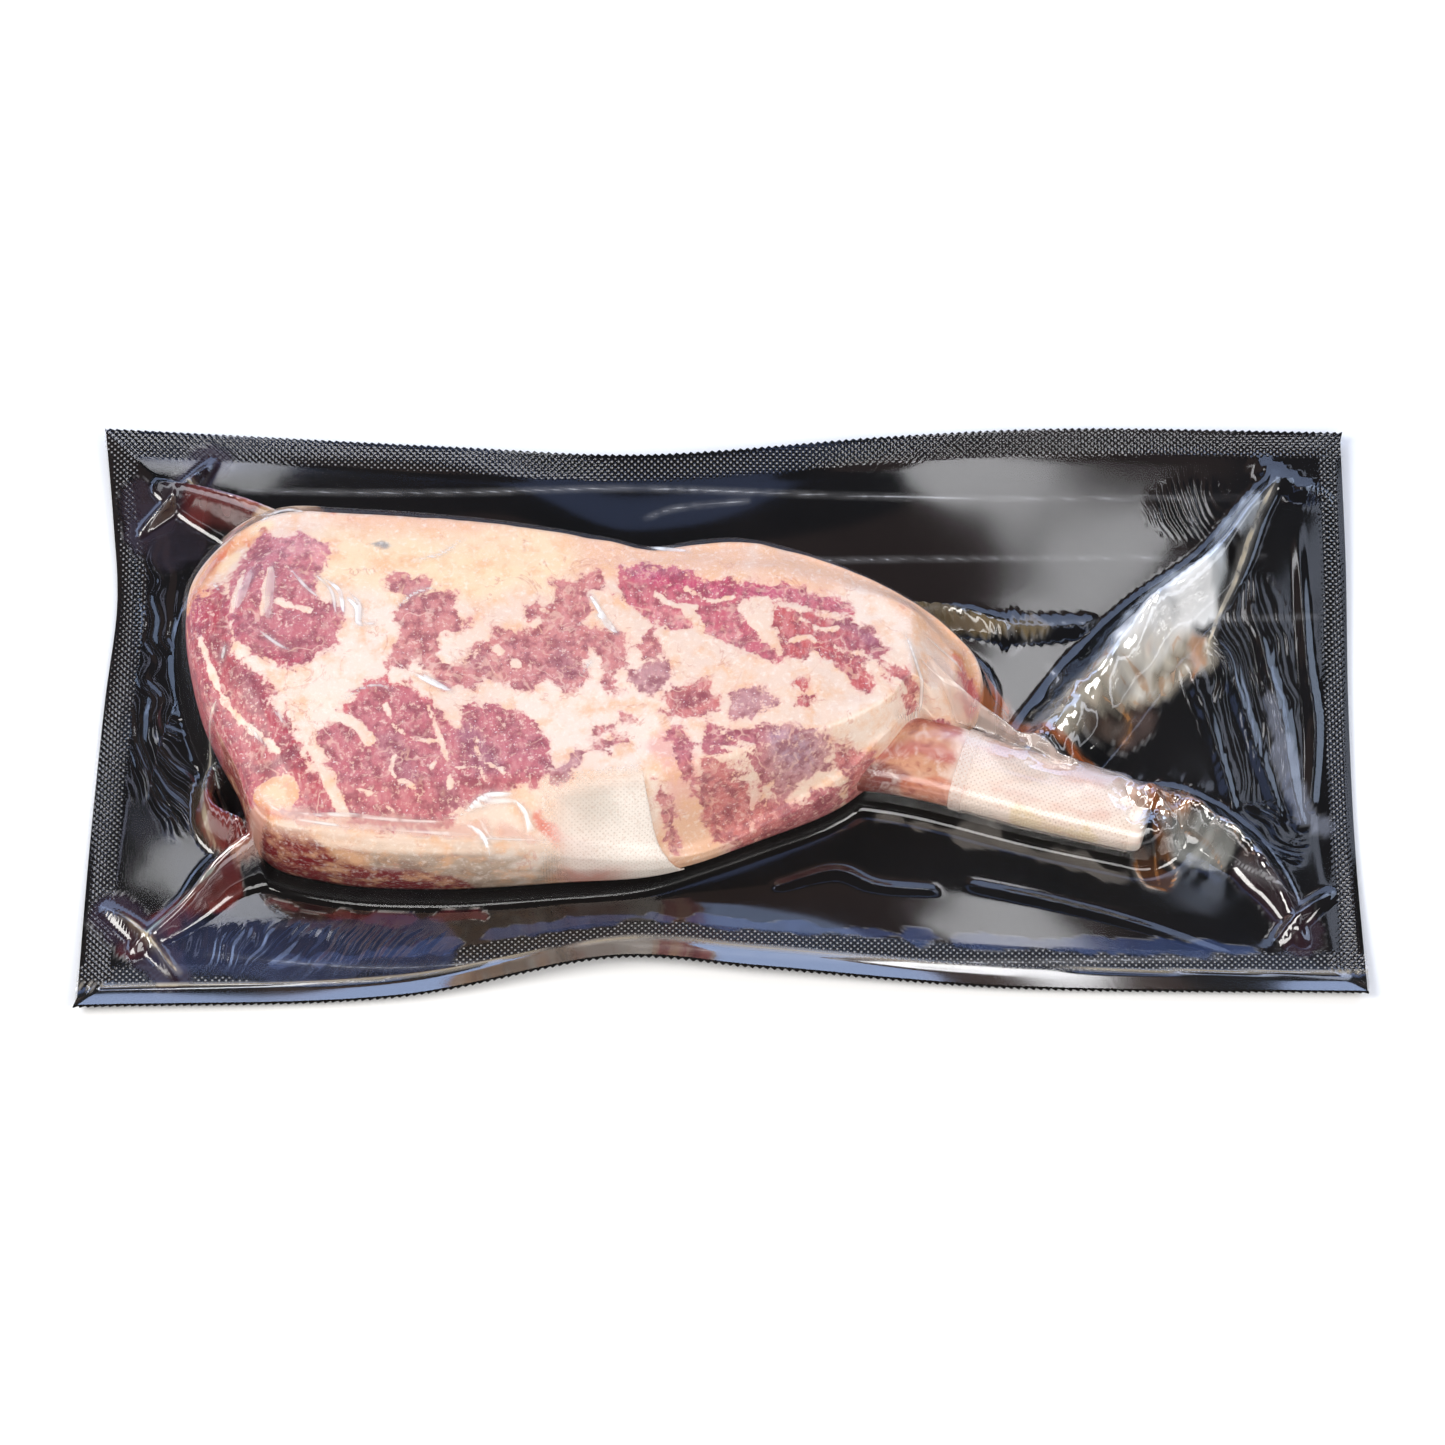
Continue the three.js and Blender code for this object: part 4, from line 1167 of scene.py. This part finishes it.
# Patches in the lean: colour, strength, radius and path
leanPatches = [
    ("b23a50", 0.6, 4, [[-187, 24], [-188, 10]]), ("b43c52", 0.6, 2.6, [[-176, 0], [-166, -4], [-158, -3]]),
    ("b8475a", 0.55, 3, [[-198, -20], [-193, -36], [-188, -50]]),
    ("cf5a60", 0.7, 1.8, [[-144, -24], [-139, -17], [-130, -12], [-118, -13], [-110, -22]]),
    ("e39a98", 0.8, 5, [[-158, 51], [-154, 42]]), ("d98f90", 0.6, 4, [[-168, 52], [-164, 44]]),
    ("743845", 0.6, 3.5, [[-195, 10], [-191, 3]]),
    ("6f3440", 0.65, 2, [[-176, -47], [-168, -46], [-162, -40]]),
    ("7a4450", 0.5, 4, [[-184, -8], [-178, -18]]), ("8d5f70", 0.6, 6, [[-96, -34], [-88, -48]]),
    ("8a5a68", 0.5, 5, [[-126, -38], [-120, -52]]), ("936072", 0.5, 4, [[-104, -58], [-100, -64]]),
    ("86505e", 0.6, 4, [[-62, 4], [-58, -6]]), ("8d5663", 0.5, 4, [[-100, 2], [-92, -4]]),
    ("c23a66", 0.6, 4, [[-30, 36], [-10, 30], [20, 29]]), ("dc8c8c", 0.6, 3, [[-26, 20], [-10, 14], [6, 6]]),
    ("74354a", 0.5, 3, [[-16, -20], [-6, -18]]), ("a593ac", 0.45, 5, [[22, -36], [32, -37]]),
    ("b8484c", 0.6, 3, [[32, 12], [44, 2], [54, -8]]), ("8c5c72", 0.5, 3, [[46, 16], [58, 8]]),
]
# Fat that runs into the lean: half-width and path
fatSeams = [
    (1.0, [[-200, 10], [-192, -12], [-185, -24], [-178, -31], [-168, -42]]),
    (1.7, [[-157, -37], [-150, -53], [-142, -68]]), (6.5, [[-171, -58], [-167, -57]]),
    (1.2, [[-174, 38], [-176, 18]]), (1.0, [[-184, 38], [-188, 20]]),
    (0.9, [[-170, 24], [-164, 21], [-158, 19]]), (2.2, [[-148, -27], [-140, -30], [-134, -37]]),
    (0.5, [[-128, -22], [-124, -31], [-118, -36], [-107, -38]]),
    (0.6, [[-112, -22], [-110, -28], [-106, -38], [-105, -44], [-101, -49], [-92, -50], [-89, -56]]),
    (0.4, [[-106, -42], [-110, -49]]), (0.4, [[-103, -50], [-103, -57]]), (0.5, [[-88, -48], [-80, -53]]),
    (0.4, [[-124, -44], [-125, -52], [-116, -58], [-114, -66]]),
    (0.4, [[-140, -57], [-130, -61], [-124, -66]]), (0.4, [[-93, -37], [-91, -46], [-84, -50]]),
    (1.6, [[-86, 3], [-85, 2]]), (1.4, [[-72, 14], [-71, 15]]), (1.5, [[-79, -3], [-78, -4]]),
    (3.6, [[-104, 5], [-104, 0]]), (4.6, [[14, 21], [14, 16]]), (1.8, [[-14, 20], [-10, 15], [-8, 12]]),
    (0.8, [[30, 16], [38, 12], [44, 13]]), (0.8, [[26, 6], [32, 8], [36, 6]]),
    (0.9, [[60, -4], [66, -8], [70, -10]]), (0.8, [[-8, -44.5], [2, -44], [8, -43], [12, -46], [18, -48]]),
    (0.6, [[0, -34], [6, -38], [12, -40]]), (0.6, [[-4, -40], [4, -41], [12, -42]]),
    (0.5, [[12, -58], [11, -52], [13, -47]]), (1.2, [[12, -66], [15, -62]]),
    (0.9, [[-26, 27], [-18, 22], [-10, 22]]), (0.7, [[-14, 30], [-4, 24], [4, 26]]),
]


def outlineDepth(x, y, outline):
    # Signed distance to a closed outline, positive inside: the distance to its nearest chord, with the sign
    # from how often a ray crosses it.
    path = smoothPath(outline, closed=True, perSpan=3)[:, :2]
    distance, _, _ = towards(x, y, path)
    inside = np.zeros(x.shape, bool)
    for (ax, ay), (bx, by) in zip(path[:-1], path[1:]):
        crosses = (ay > y) != (by > y)
        inside ^= crosses & (x < (bx - ax) * (y - ay) / (by - ay + 1e-12) + ax)
    return np.where(inside, distance, -distance)


def leanFields(x, y):
    # Depth into the lean, positive inside, and its tone: the deepest outline wins, and tones blend by how
    # deep each is. A seam of fat cuts the depth along its path and lets it rise steeply past its half-width.
    margin, toneReach, seamSlope, seamDip = 9.0, 2.2, 3, 0.9
    depth = np.full(x.shape, -margin)
    weight = np.full(x.shape, 1e-4)
    colour = linear(tones["blush"]) * weight[..., None]
    for tone, outline in leanIslands:
        near = nearPath(x, y, outline, margin)
        here = outlineDepth(x[near], y[near], outline)
        depth[near] = np.maximum(depth[near], here)
        share = np.exp(here / toneReach)
        weight[near] += share
        colour[near] += share[:, None] * linear(tones[tone])
    for width, path in fatSeams:
        near = nearPath(x, y, path, margin)
        distance, _, _ = towards(x[near], y[near], smoothPath(path, perSpan=4))
        depth[near] = np.minimum(depth[near], seamSlope * (distance - width) - seamDip)
    return depth, colour / weight[..., None]


# Ground colours of fat, membrane and edge, with two patches of painted light marked below: place, radius and
# colour
fatColours = {"cream": "e9cdb9", "peach": "e8b796", "pale": "f0dac9", "tan": "b8a08c", "amber": "db8f52",
              "pink": "e5a99c", "grey": "8f8d8c", "salmon": "d9705c", "butter": "f2d3ac", "orange": "d2652e",
              "crimson": "a8302c", "apricotAndPaintedLight": "fac39a", "sand": "cf9a74"}
groundPatches = [
    ("pale", 34, [[-170, -15], [-150, -2], [-130, 2]]),
    ("peach", 14, [[-140, 56], [-90, 52], [-40, 46], [0, 45]]),
    ("peach", 12, [[20, 42], [48, 36], [80, 24], [94, 12]]),
    ("pale", 22, [[-70, -30], [-40, -20], [-30, -40]]), ("pale", 10, [[50, 24], [66, 14]]),
    ("butter", 16, [[-150, 44], [-110, 40], [-70, 44]]),
    ("amber", 6, [[-206, 24], [-200, 36], [-192, 50], [-182, 60]]), ("butter", 4, [[-193, 42], [-187, 49]]),
    ("butter", 3, [[-182, 60], [-176, 62]]), ("orange", 1.8, [[-205, 26], [-196, 44], [-189, 56]]),
    ("crimson", 1.3, [[-177, 60], [-175, 50], [-175, 42]]),
    ("orange", 2, [[-185, 57], [-181, 48], [-183, 40]]),
    ("salmon", 1.6, [[-150, 66], [-132, 67], [-112, 67]]), ("salmon", 1.4, [[-100, 64], [-84, 62]]),
    ("salmon", 1.6, [[-34, 53], [-10, 55], [16, 54]]), ("amber", 8, [[-178, -54], [-170, -60], [-162, -60]]),
    ("sand", 6, [[-175, -55], [-168, -58], [-164, -62]]), ("peach", 2, [[-172, -56], [-167, -59]]),
    ("salmon", 1.5, [[-181, -54], [-176, -62], [-168, -66]]),
    ("amber", 3, [[-186, -44], [-180, -58], [-172, -68]]),
    ("amber", 2.2, [[54, -33], [66, -27], [84, -20], [96, -15]]), ("pink", 5, [[58, -38], [80, -40]]),
    ("pink", 12, [[10, -62], [30, -60]]), ("pink", 7, [[-20, -40], [-14, -52]]),
    ("salmon", 2.4, [[-70, -66], [-62, -71], [-50, -74]]), ("grey", 1.6, [[-137, 50], [-132, 50]]),
    ("amber", 4, [[90, 12], [97, 2], [98, -8]]), ("peach", 10, [[-14, -66], [-6, -60]]),
    # The pale patch on this line is painted light: it lightens the slope from the face down to the bone,
    # which lies in shade
    ("salmon", 3, [[90, 10], [97, 0]]), ("pale", 7, [[50, -26], [68, -20], [84, -10]]),
    # Orange fat along the far rim and down the far wall, lightened as painted light where that wall gets less
    # light
    ("apricotAndPaintedLight", 5, [[-40, 55], [-10, 56], [20, 55], [48, 46], [72, 36], [92, 22]]),
]


# The near wall, in millimetres: where its membrane, amber and juice end towards the right, the height of the
# amber's foot and of the pale ridge, and the rises of the juice's level, each with its start and run
nearWall = {
    "rim": 44, "membraneEnd": -52, "shade": "846454", "light": "e9d8ca",
    "amberEnd": -132, "amberFoot": 10, "rust": "8a2f26", "ridgeFoot": 31, "ridge": "f6dac2",
    "juice": "7c0e1c", "juiceEnd": -76, "juiceRises": [(11, -92, 8), (12, -88, 34), (18, -136, 24)],
}


def groundFields(x, y, z, wall):
    # Colour of fat on the face with the patches laid over it in turn; on the far wall a place counts as that
    # much further out as it lies below the rim. The near wall is covered by a tan membrane with amber at its
    # left end, and dark juice stands along its foot.
    colour = np.broadcast_to(linear(fatColours["cream"]), (*x.shape, 3))
    wobble = 2.4 * latticeNoise(x, y, 10, 95) + 1.2 * latticeNoise(x, y + z, 4, 96)
    unrolled = y + (y > spineY(x)) * wall * np.maximum(nearWall["rim"] - z, 0)
    patches = [(fatColours[name], 0.85, radius, path) for name, radius, path in groundPatches]
    colour = withPatches(colour, x, unrolled, patches, 1.25, 0.75, wobble)
    near = wall * smooth((spineY(x) - y) / 12)
    membrane = near * smooth((nearWall["membraneEnd"] - x) / 12)
    colour = tinted(colour, fatColours["tan"], 0.9 * membrane)
    slant = z + 0.12 * x
    smear = latticeNoise(x, slant * 1.6, 11, 97) + 0.8 * latticeNoise(x, slant * 1.4, 4.5, 98)
    colour = tinted(colour, nearWall["shade"], 0.6 * membrane * smooth(1.6 * smear - 0.3))
    colour = tinted(colour, nearWall["light"], 0.8 * membrane * smooth(-0.4 - 1.6 * smear))
    amber = membrane * smooth((nearWall["amberEnd"] - x + 3 * wobble) / 14)
    amber *= smooth((z - nearWall["amberFoot"] + wobble) / 6)
    colour = tinted(colour, fatColours["amber"], 0.7 * amber)
    colour = tinted(colour, nearWall["rust"], 0.85 * (amber * smooth(2.2 * latticeNoise(x, z, 6, 94))))
    ridge = membrane * smooth((z - nearWall["ridgeFoot"] + 0.02 * (x + 110)) / 3)
    colour = tinted(colour, nearWall["ridge"], 0.9 * ridge)
    level = sum(rise * smooth((start - x) / run) for rise, start, run in nearWall["juiceRises"])
    juice = near * smooth((nearWall["juiceEnd"] - x) / 10) * smooth((level + wobble - z) / 3)
    return tinted(colour, nearWall["juice"], 0.94 * juice)


def meatTurns():
    # Shares of the way round the meat for its columns: at the same X on the far and near sides between the
    # spine's ends, so that both halves meet on it, and evenly over the two ends.
    spine = meatForm["spine"]
    edgeX, edgeY = meatCurve[:, 0], meatCurve[:, 1]
    straight = (edgeX > spine["left"] - 2) & (edgeX < spine["right"] + 2)
    far = straight & (edgeY > spineY(edgeX)) & (meatRound < 0.5)
    near = straight & (edgeY < spineY(edgeX)) & (meatRound > 0.5)
    stations = np.linspace(spine["right"], spine["left"], 190)
    farTurns = np.interp(-stations, -edgeX[far], meatRound[far])
    nearTurns = np.interp(stations[::-1], edgeX[near], meatRound[near])
    left = np.linspace(farTurns[-1], nearTurns[0], 200)[1:-1]
    right = np.linspace(nearTurns[-1], farTurns[0] + 1, 120)[1:-1]
    return np.concatenate([farTurns, left, nearTurns, right])


def makeMeat():
    # Rings from the middle of the underside, up the wall and over the face to the spine, with two sizes of
    # low relief on the face. The left wall is lean, and so is the near wall beside the bone.
    turns = meatTurns()
    underRows = np.array([0.0, 0.4, 0.8])
    rows = np.concatenate([np.linspace(0, 4, 22), np.linspace(4.25, 10, 66)])
    turn, row = np.meshgrid(turns, rows)
    points = meatSurface(turn, row)
    edgeX, edgeY, _ = meatEdgeAt(turns)
    heartX = np.clip(edgeX, meatForm["spine"]["left"], meatForm["spine"]["right"])
    heart = np.stack([heartX, spineY(heartX)], axis=-1)
    under = heart + (points[0, :, :2] - heart) * underRows[:, None, None]
    under = np.concatenate([under, np.full((*under.shape[:2], 1), meatForm["bed"])], axis=-1)
    points = np.concatenate([under, points])
    x, y, z = points[..., 0], points[..., 1], points[..., 2]
    rowAll = np.concatenate([np.full((3, len(turns)), -1.0), row])
    wall = 1 - smooth((rowAll - 2.6) / 1.4)
    depth, lean = leanFields(x, y)
    lean = withPatches(lean, x, y, leanPatches, 1.3, 0.9, 1.8 * latticeNoise(x, y, 6, 99))
    relief = 0.45 * latticeNoise(x, y, 11, 91) + 0.25 * latticeNoise(x, y, 4.5, 92)
    relief = relief - 0.25 * smooth((depth + 1) / 2)
    points[..., 2] = z + relief * (1 - wall)
    leftWall = wall * smooth((-184 - x) / 12) * smooth((46 - y) / 16)
    rightWall = wall * smooth((x + 14) / 8) * smooth((70 - x) / 8) * (y < spineY(x))
    depth = np.where(rowAll < 3.2, between(-6.0, depth, np.clip(1 - wall + rightWall, 0, 1)), depth)
    ragged = 2.5 * latticeNoise(x + y, z * 2, 7, 93) * leftWall
    depth = np.maximum(depth, between(-9.0, 4.0, leftWall) + ragged)
    colour = groundFields(x, y, z, wall)
    whole = points.reshape(-1, 3)
    faces = gridFaces(len(points), len(turns), True)
    return writeMesh("meatBody", whole, faces, meatMaterial(), ["meat"],
                     {"lean": depth}, {"leanTone": lean, "ground": colour})


# Sizes of the meat's patterns in millimetres, and the colours that they bring in
meatGrain = {
    "broad": 13, "ragged": 6.5, "crumb": 1.6, "thread": 15, "fleck": 1.9, "fibre": 1.8, "blood": 4.5,
    "glint": 1.1, "butter": 9, "crack": 17, "skin": 2.0,
}
meatShades = {
    "fibre": "dca2a0", "blood": "86404b", "glint": "f6e6e4", "butter": "e8b48a", "crack": "cd8a78",
    "bloom": "fbf0e6", "fringe": "e2a294",
}


def meatMaterial():
    # Raw meat: fat and lean parted by the depth attribute roughened with noise, with threads and flecks of
    # fat in the lean, fibres, painted highlight specks on the lean, pink cracks in the fat, and a moist
    # gloss.
    bench = NodeBench("rawMeat")
    size = meatGrain
    shade = {name: rgba(code) for name, code in meatShades.items()}
    broad = bench.noise(size["broad"], 2)
    ragged = bench.times(bench.offMiddle(bench.noise(size["ragged"], 4, 0.55, 0.5)), 15.0)
    crumbs = bench.times(bench.offMiddle(bench.noise(size["crumb"], 3, 0.62)), 5.0)
    depth = bench.math("ADD", bench.value("lean"), bench.math("ADD", ragged, crumbs))
    isLean = bench.ramp(depth, -0.9, 0.7)
    fringe = bench.ramp(depth, -2.6, 0.0)
    threads = bench.lines(bench.noise(size["thread"], 3, 0.55, 0.3), 0.006, 0.026)
    threads = bench.times(threads, bench.ramp(broad, 0.46, 0.6, 0.0, 0.8))
    grain = bench.noise(size["fleck"], 4, 0.65)
    flecks = bench.times(bench.ramp(grain, 0.53, 0.64), bench.ramp(broad, 0.38, 0.6, 1.0, 0.45))
    isLean = bench.times(isLean, bench.rest(bench.times(bench.larger(threads, flecks), 0.72)))
    fibre = bench.noise(size["fibre"], 3, 0.6, 0.3, stretch=((1.0, 0.32, 1.0), (0, 0, 0.5)))
    tone = bench.mix(bench.ramp(fibre, 0.35, 0.7, 0.0, 0.4), bench.tint("leanTone"), shade["fibre"])
    tone = bench.mix(bench.ramp(bench.noise(size["blood"], 3), 0.42, 0.66, 0.0, 0.7), tone, shade["blood"])
    # Painted highlights: tiny pale specks over the lean stand in for glints of moisture
    tone = bench.mix(bench.ramp(bench.noise(size["glint"], 1), 0.66, 0.76, 0.0, 0.6), tone, shade["glint"])
    butter = bench.ramp(bench.noise(size["butter"], 4, 0.6), 0.45, 0.7, 0.0, 0.75)
    fat = bench.mix(butter, bench.tint("ground"), shade["butter"])
    cracks = bench.lines(bench.noise(size["crack"], 4, 0.62, 0.8), 0.003, 0.02)
    fat = bench.mix(bench.times(cracks, bench.ramp(broad, 0.5, 0.62, 0.0, 0.5)), fat, shade["crack"])
    fat = bench.mix(bench.ramp(grain, 0.5, 0.72, 0.0, 0.45), fat, shade["bloom"])
    fat = bench.mix(bench.times(fringe, 0.4), fat, shade["fringe"])
    normal = bench.bump(bench.noise(size["skin"], 3), 0.35, 0.7)
    return bench.surface(bench.coat(bench.mix(isLean, fat, tone), 0.45, normal, 0.3))


# The rib bone

# Colours over the rib: code, strength, radius and path
boneTints = [
    ("c9875c", 0.9, 18, [[20, -26], [50, -23], [76, -26]]),
    ("b4564c", 0.8, 5, [[56, -14], [72, -16], [88, -18]]),
    ("c0605a", 0.7, 4, [[58, -28], [74, -27], [86, -30]]), ("dca27c", 0.7, 4, [[60, -20], [80, -22]]),
    ("761d1b", 0.9, 3.2, [[52, -36], [60, -37], [69, -38]]), ("c8663c", 0.7, 3, [[70, -40], [90, -44]]),
    ("fff0e0", 0.85, 5, [[98, -34], [120, -40], [142, -46]]),
    ("e0a08e", 0.5, 2, [[92, -24], [112, -30], [136, -38], [152, -42]]),
    ("dda08e", 0.4, 2.0, [[104, -44], [124, -50], [146, -56]]),
    ("f2dca8", 0.8, 2.6, [[112, -53], [134, -60], [156, -66]]),
    ("faeee0", 0.85, 7, [[154, -44], [158, -52], [158, -60]]),
    ("c9793e", 0.6, 1.6, [[96, -21], [122, -28], [150, -37]]),
]


def makeRib():
    # Rounded sections along the middle line, closed at both ends, with low lumps.
    share = np.concatenate([[0], np.linspace(0, 1, 150), 1 + np.array([0.5, 1.2, 1.9, 2.2, 2.2]) / ribLength])
    scale = np.concatenate([[0], np.ones(149), [0.985, 0.975, 0.94, 0.89, 0.84, 0.0]])
    angle = np.linspace(0, 2 * math.pi, 73)[:-1]
    shareGrid, angleGrid = np.meshgrid(share, angle, indexing="ij")
    points = ribSkin(shareGrid, angleGrid, 0.0, scale[:, None])
    x, y, z = points[..., 0], points[..., 1], points[..., 2]
    lump = 0.55 * latticeNoise(x, y * 2, 17, 101) + 0.3 * latticeNoise(x, y + z, 6, 102)
    onTop = (np.sin(angleGrid) > 0.2) * (scale[:, None] > 0.5)
    points[..., 2] = np.maximum(z + lump * onTop, meatForm["bed"])
    ring = gridFaces(len(share), len(angle), True)
    colour = np.broadcast_to(linear("fff0e4"), (*x.shape, 3))
    wobble = 2.0 * latticeNoise(x, y, 8, 103) + latticeNoise(x, y, 3, 104)
    colour = withPatches(colour, x, y, boneTints, 1.25, 0.7, wobble)
    return writeMesh("ribBone", points.reshape(-1, 3), ring, boneMaterial(), ["rib_bone"],
                     {"bare": smooth((x - 84) / 14)}, {"ground": colour})


def boneMaterial():
    # Scraped bone: pink and cream streaks along it, and moist tissue where it is not bare.
    bench = NodeBench("ribBone")
    streak = bench.noise(5, 4, 0.6, 0.3, stretch=((0.22, 1.0, 1.0), (0, 0, -0.3)))
    blotch = bench.noise(6, 4, 0.62, 0.6)
    colour = bench.mix(bench.ramp(streak, 0.45, 0.72, 0.0, 0.38), bench.tint("ground"), rgba("eab096"))
    colour = bench.mix(bench.ramp(blotch, 0.5, 0.7, 0.0, 0.4), colour, rgba("fbf0e6"))
    tissue = bench.times(bench.rest(bench.value("bare")), bench.ramp(blotch, 0.3, 0.48, 0.75, 0.0))
    colour = bench.mix(tissue, colour, rgba("9c4238"))
    return bench.surface(bench.coat(colour, 0.45, bench.bump(streak, 0.6, 0.8)))


# Cloth guards

def clothMaterial(name, dotColour, dotShare):
    # Perforated cloth: small pressed dots in rows on the piece's own lanes, its soaked colours and how
    # opaque it is from attributes.
    bench = NodeBench(name)
    pitch = 2.2
    weave = bench.times(bench.wave(bench.value("laneU"), pitch), bench.wave(bench.value("laneV"), pitch))
    dots = bench.ramp(weave, 0.5, 0.85)
    blotch = bench.ramp(bench.noise(5, 4, 0.6), 0.45, 0.75, 0.0, 0.4)
    colour = bench.mix(blotch, bench.tint("soak"), rgba("f6ebe0"))
    colour = bench.mix(bench.ramp(bench.noise(1.3, 3, 0.65), 0.5, 0.7, 0.0, 0.4), colour, rgba("dcb9a4"))
    colour = bench.mix(bench.times(dots, dotShare), colour, rgba(dotColour))
    height = bench.math("ADD", bench.times(dots, -0.4), bench.times(bench.noise(0.7, 2), 0.3))
    cloth = bench.coat(colour, 0.6, bench.bump(height, 0.25, 0.7))
    solid = bench.larger(bench.value("solid"), bench.times(dots, 0.35))
    return bench.surface(bench.blend(solid, bench.clear(), cloth))


def sheetBetween(name, inner, outer, material, replaced, solid, soak):
    # A closed sheet between two grids of points, with lanes in millimetres along its rows and columns.
    rows, columns = inner.shape[:2]
    count = rows * columns
    faces = gridFaces(rows, columns, False)
    back = faces[:, ::-1]
    rim = np.concatenate([
        np.arange(columns), columns * np.arange(1, rows) + columns - 1,
        count - 2 - np.arange(columns - 1), columns * np.arange(rows - 2, 0, -1),
    ])
    after = np.roll(rim, -1)
    edge = np.stack([rim, after, after + count, rim + count], axis=-1)
    whole = np.concatenate([back, faces + count, edge])
    stepsU = np.linalg.norm(np.diff(outer, axis=1), axis=-1)
    stepsV = np.linalg.norm(np.diff(outer, axis=0), axis=-1)
    fields = {
        "laneU": np.cumsum(np.concatenate([np.zeros((rows, 1)), stepsU], axis=1), axis=1),
        "laneV": np.cumsum(np.concatenate([np.zeros((1, columns)), stepsV]), axis=0),
        "solid": solid,
    }
    points = np.concatenate([inner.reshape(-1, 3), outer.reshape(-1, 3)])
    values = {key: np.tile(field.ravel(), 2) for key, field in fields.items()}
    return writeMesh(name, points, whole, material, replaced, values,
                     {"soak": np.tile(soak.reshape(-1, 3), (2, 1))}, merge=False)


# The cloths: gap under and thickness in millimetres, colours, pressed dots, and flat size and area in metres
heelGuard = {
    "low": (0.735, 0.806), "high": (0.735, 0.784), "rows": (0.6, 6.55), "tilt": 0.35,
    "gap": 0.35, "thick": 0.6, "cloth": "fff3e8", "soaked": "d8cec0", "juice": "e07f68",
    "dots": ("bfae9c", 0.4), "flat": (0.056, 0.05), "area": 0.0024,
}
tipGuard = {
    "from": 0.62, "angles": (-24, 204), "gap": 0.35, "thick": 0.5, "cloth": "fff4ea",
    "dots": ("cf8148", 0.55), "flat": (0.072, 0.053), "area": 0.0038,
}


def makeHeelCloth():
    # Follows the meat up its wall and over the rim, a gap off its skin. It is soaked in an oval on top, holds
    # red juice low at its left, and gets thinner towards its left and upper edges.
    form = heelGuard
    up, along = np.meshgrid(np.linspace(0, 1, 70), np.linspace(0, 1, 60), indexing="ij")
    start = between(form["low"][0], form["high"][0], up)
    stop = between(form["low"][1], form["high"][1], up)
    turn = between(start, stop, along)
    row = between(form["rows"][0], form["rows"][1] + form["tilt"] * (along - 0.5), up)
    inner = meatOffset(turn, row, form["gap"])
    outer = meatOffset(turn, row, form["gap"] + form["thick"])
    x, y, z = outer[..., 0], outer[..., 1], outer[..., 2]
    wobble = 2.2 * latticeNoise(x, y, 9, 111) + latticeNoise(x, y, 3.5, 112)
    soak = np.broadcast_to(linear(form["cloth"]), (*x.shape, 3))
    oval = smooth(1.35 - np.hypot((x + 50 + 1.6 * wobble) / 12, (y + 61 + wobble) / 6.5))
    soak = tinted(soak, form["soaked"], 0.45 * oval)
    red = smooth((22 - z + 1.5 * wobble) / 8) * smooth((-30 - x + wobble) / 16)
    soak = tinted(soak, form["juice"], 0.62 * red)
    solid = between(0.55, 0.9, smooth((along - 0.3) / 0.5)) * smooth(along / 0.3) * smooth((1 - up) / 0.14)
    material = clothMaterial("guardCloth", *form["dots"])
    heelCloth = sheetBetween("heelGuardCloth", inner, outer, material, ["bone_guard_heel"], solid, soak)


def makeTipCloth():
    # Wraps the rib's top and sides up to its end, thin enough to see the bone, with a denser hem where it
    # starts.
    form = tipGuard
    last = 1 - ribForm["end"]["length"] / ribLength
    turns = np.radians(np.linspace(*form["angles"], 60))
    share, angle = np.meshgrid(np.linspace(form["from"], last, 90), turns, indexing="ij")
    inner = ribSkin(share, angle, form["gap"])
    outer = ribSkin(share, angle, form["gap"] + form["thick"])
    soak = np.broadcast_to(linear(form["cloth"]), (*share.shape, 3))
    solid = 0.16 + 0.3 * smooth((0.02 - np.abs(share - form["from"] - 0.012)) / 0.012)
    material = clothMaterial("tipCloth", *form["dots"])
    tipCloth = sheetBetween("tipGuardCloth", inner, outer, material, ["bone_guard_tip"], solid, soak)


makeBack()
makeMeat()
makeRib()
makeHeelCloth()
makeTipCloth()
makeFilm()
print("pieces made")
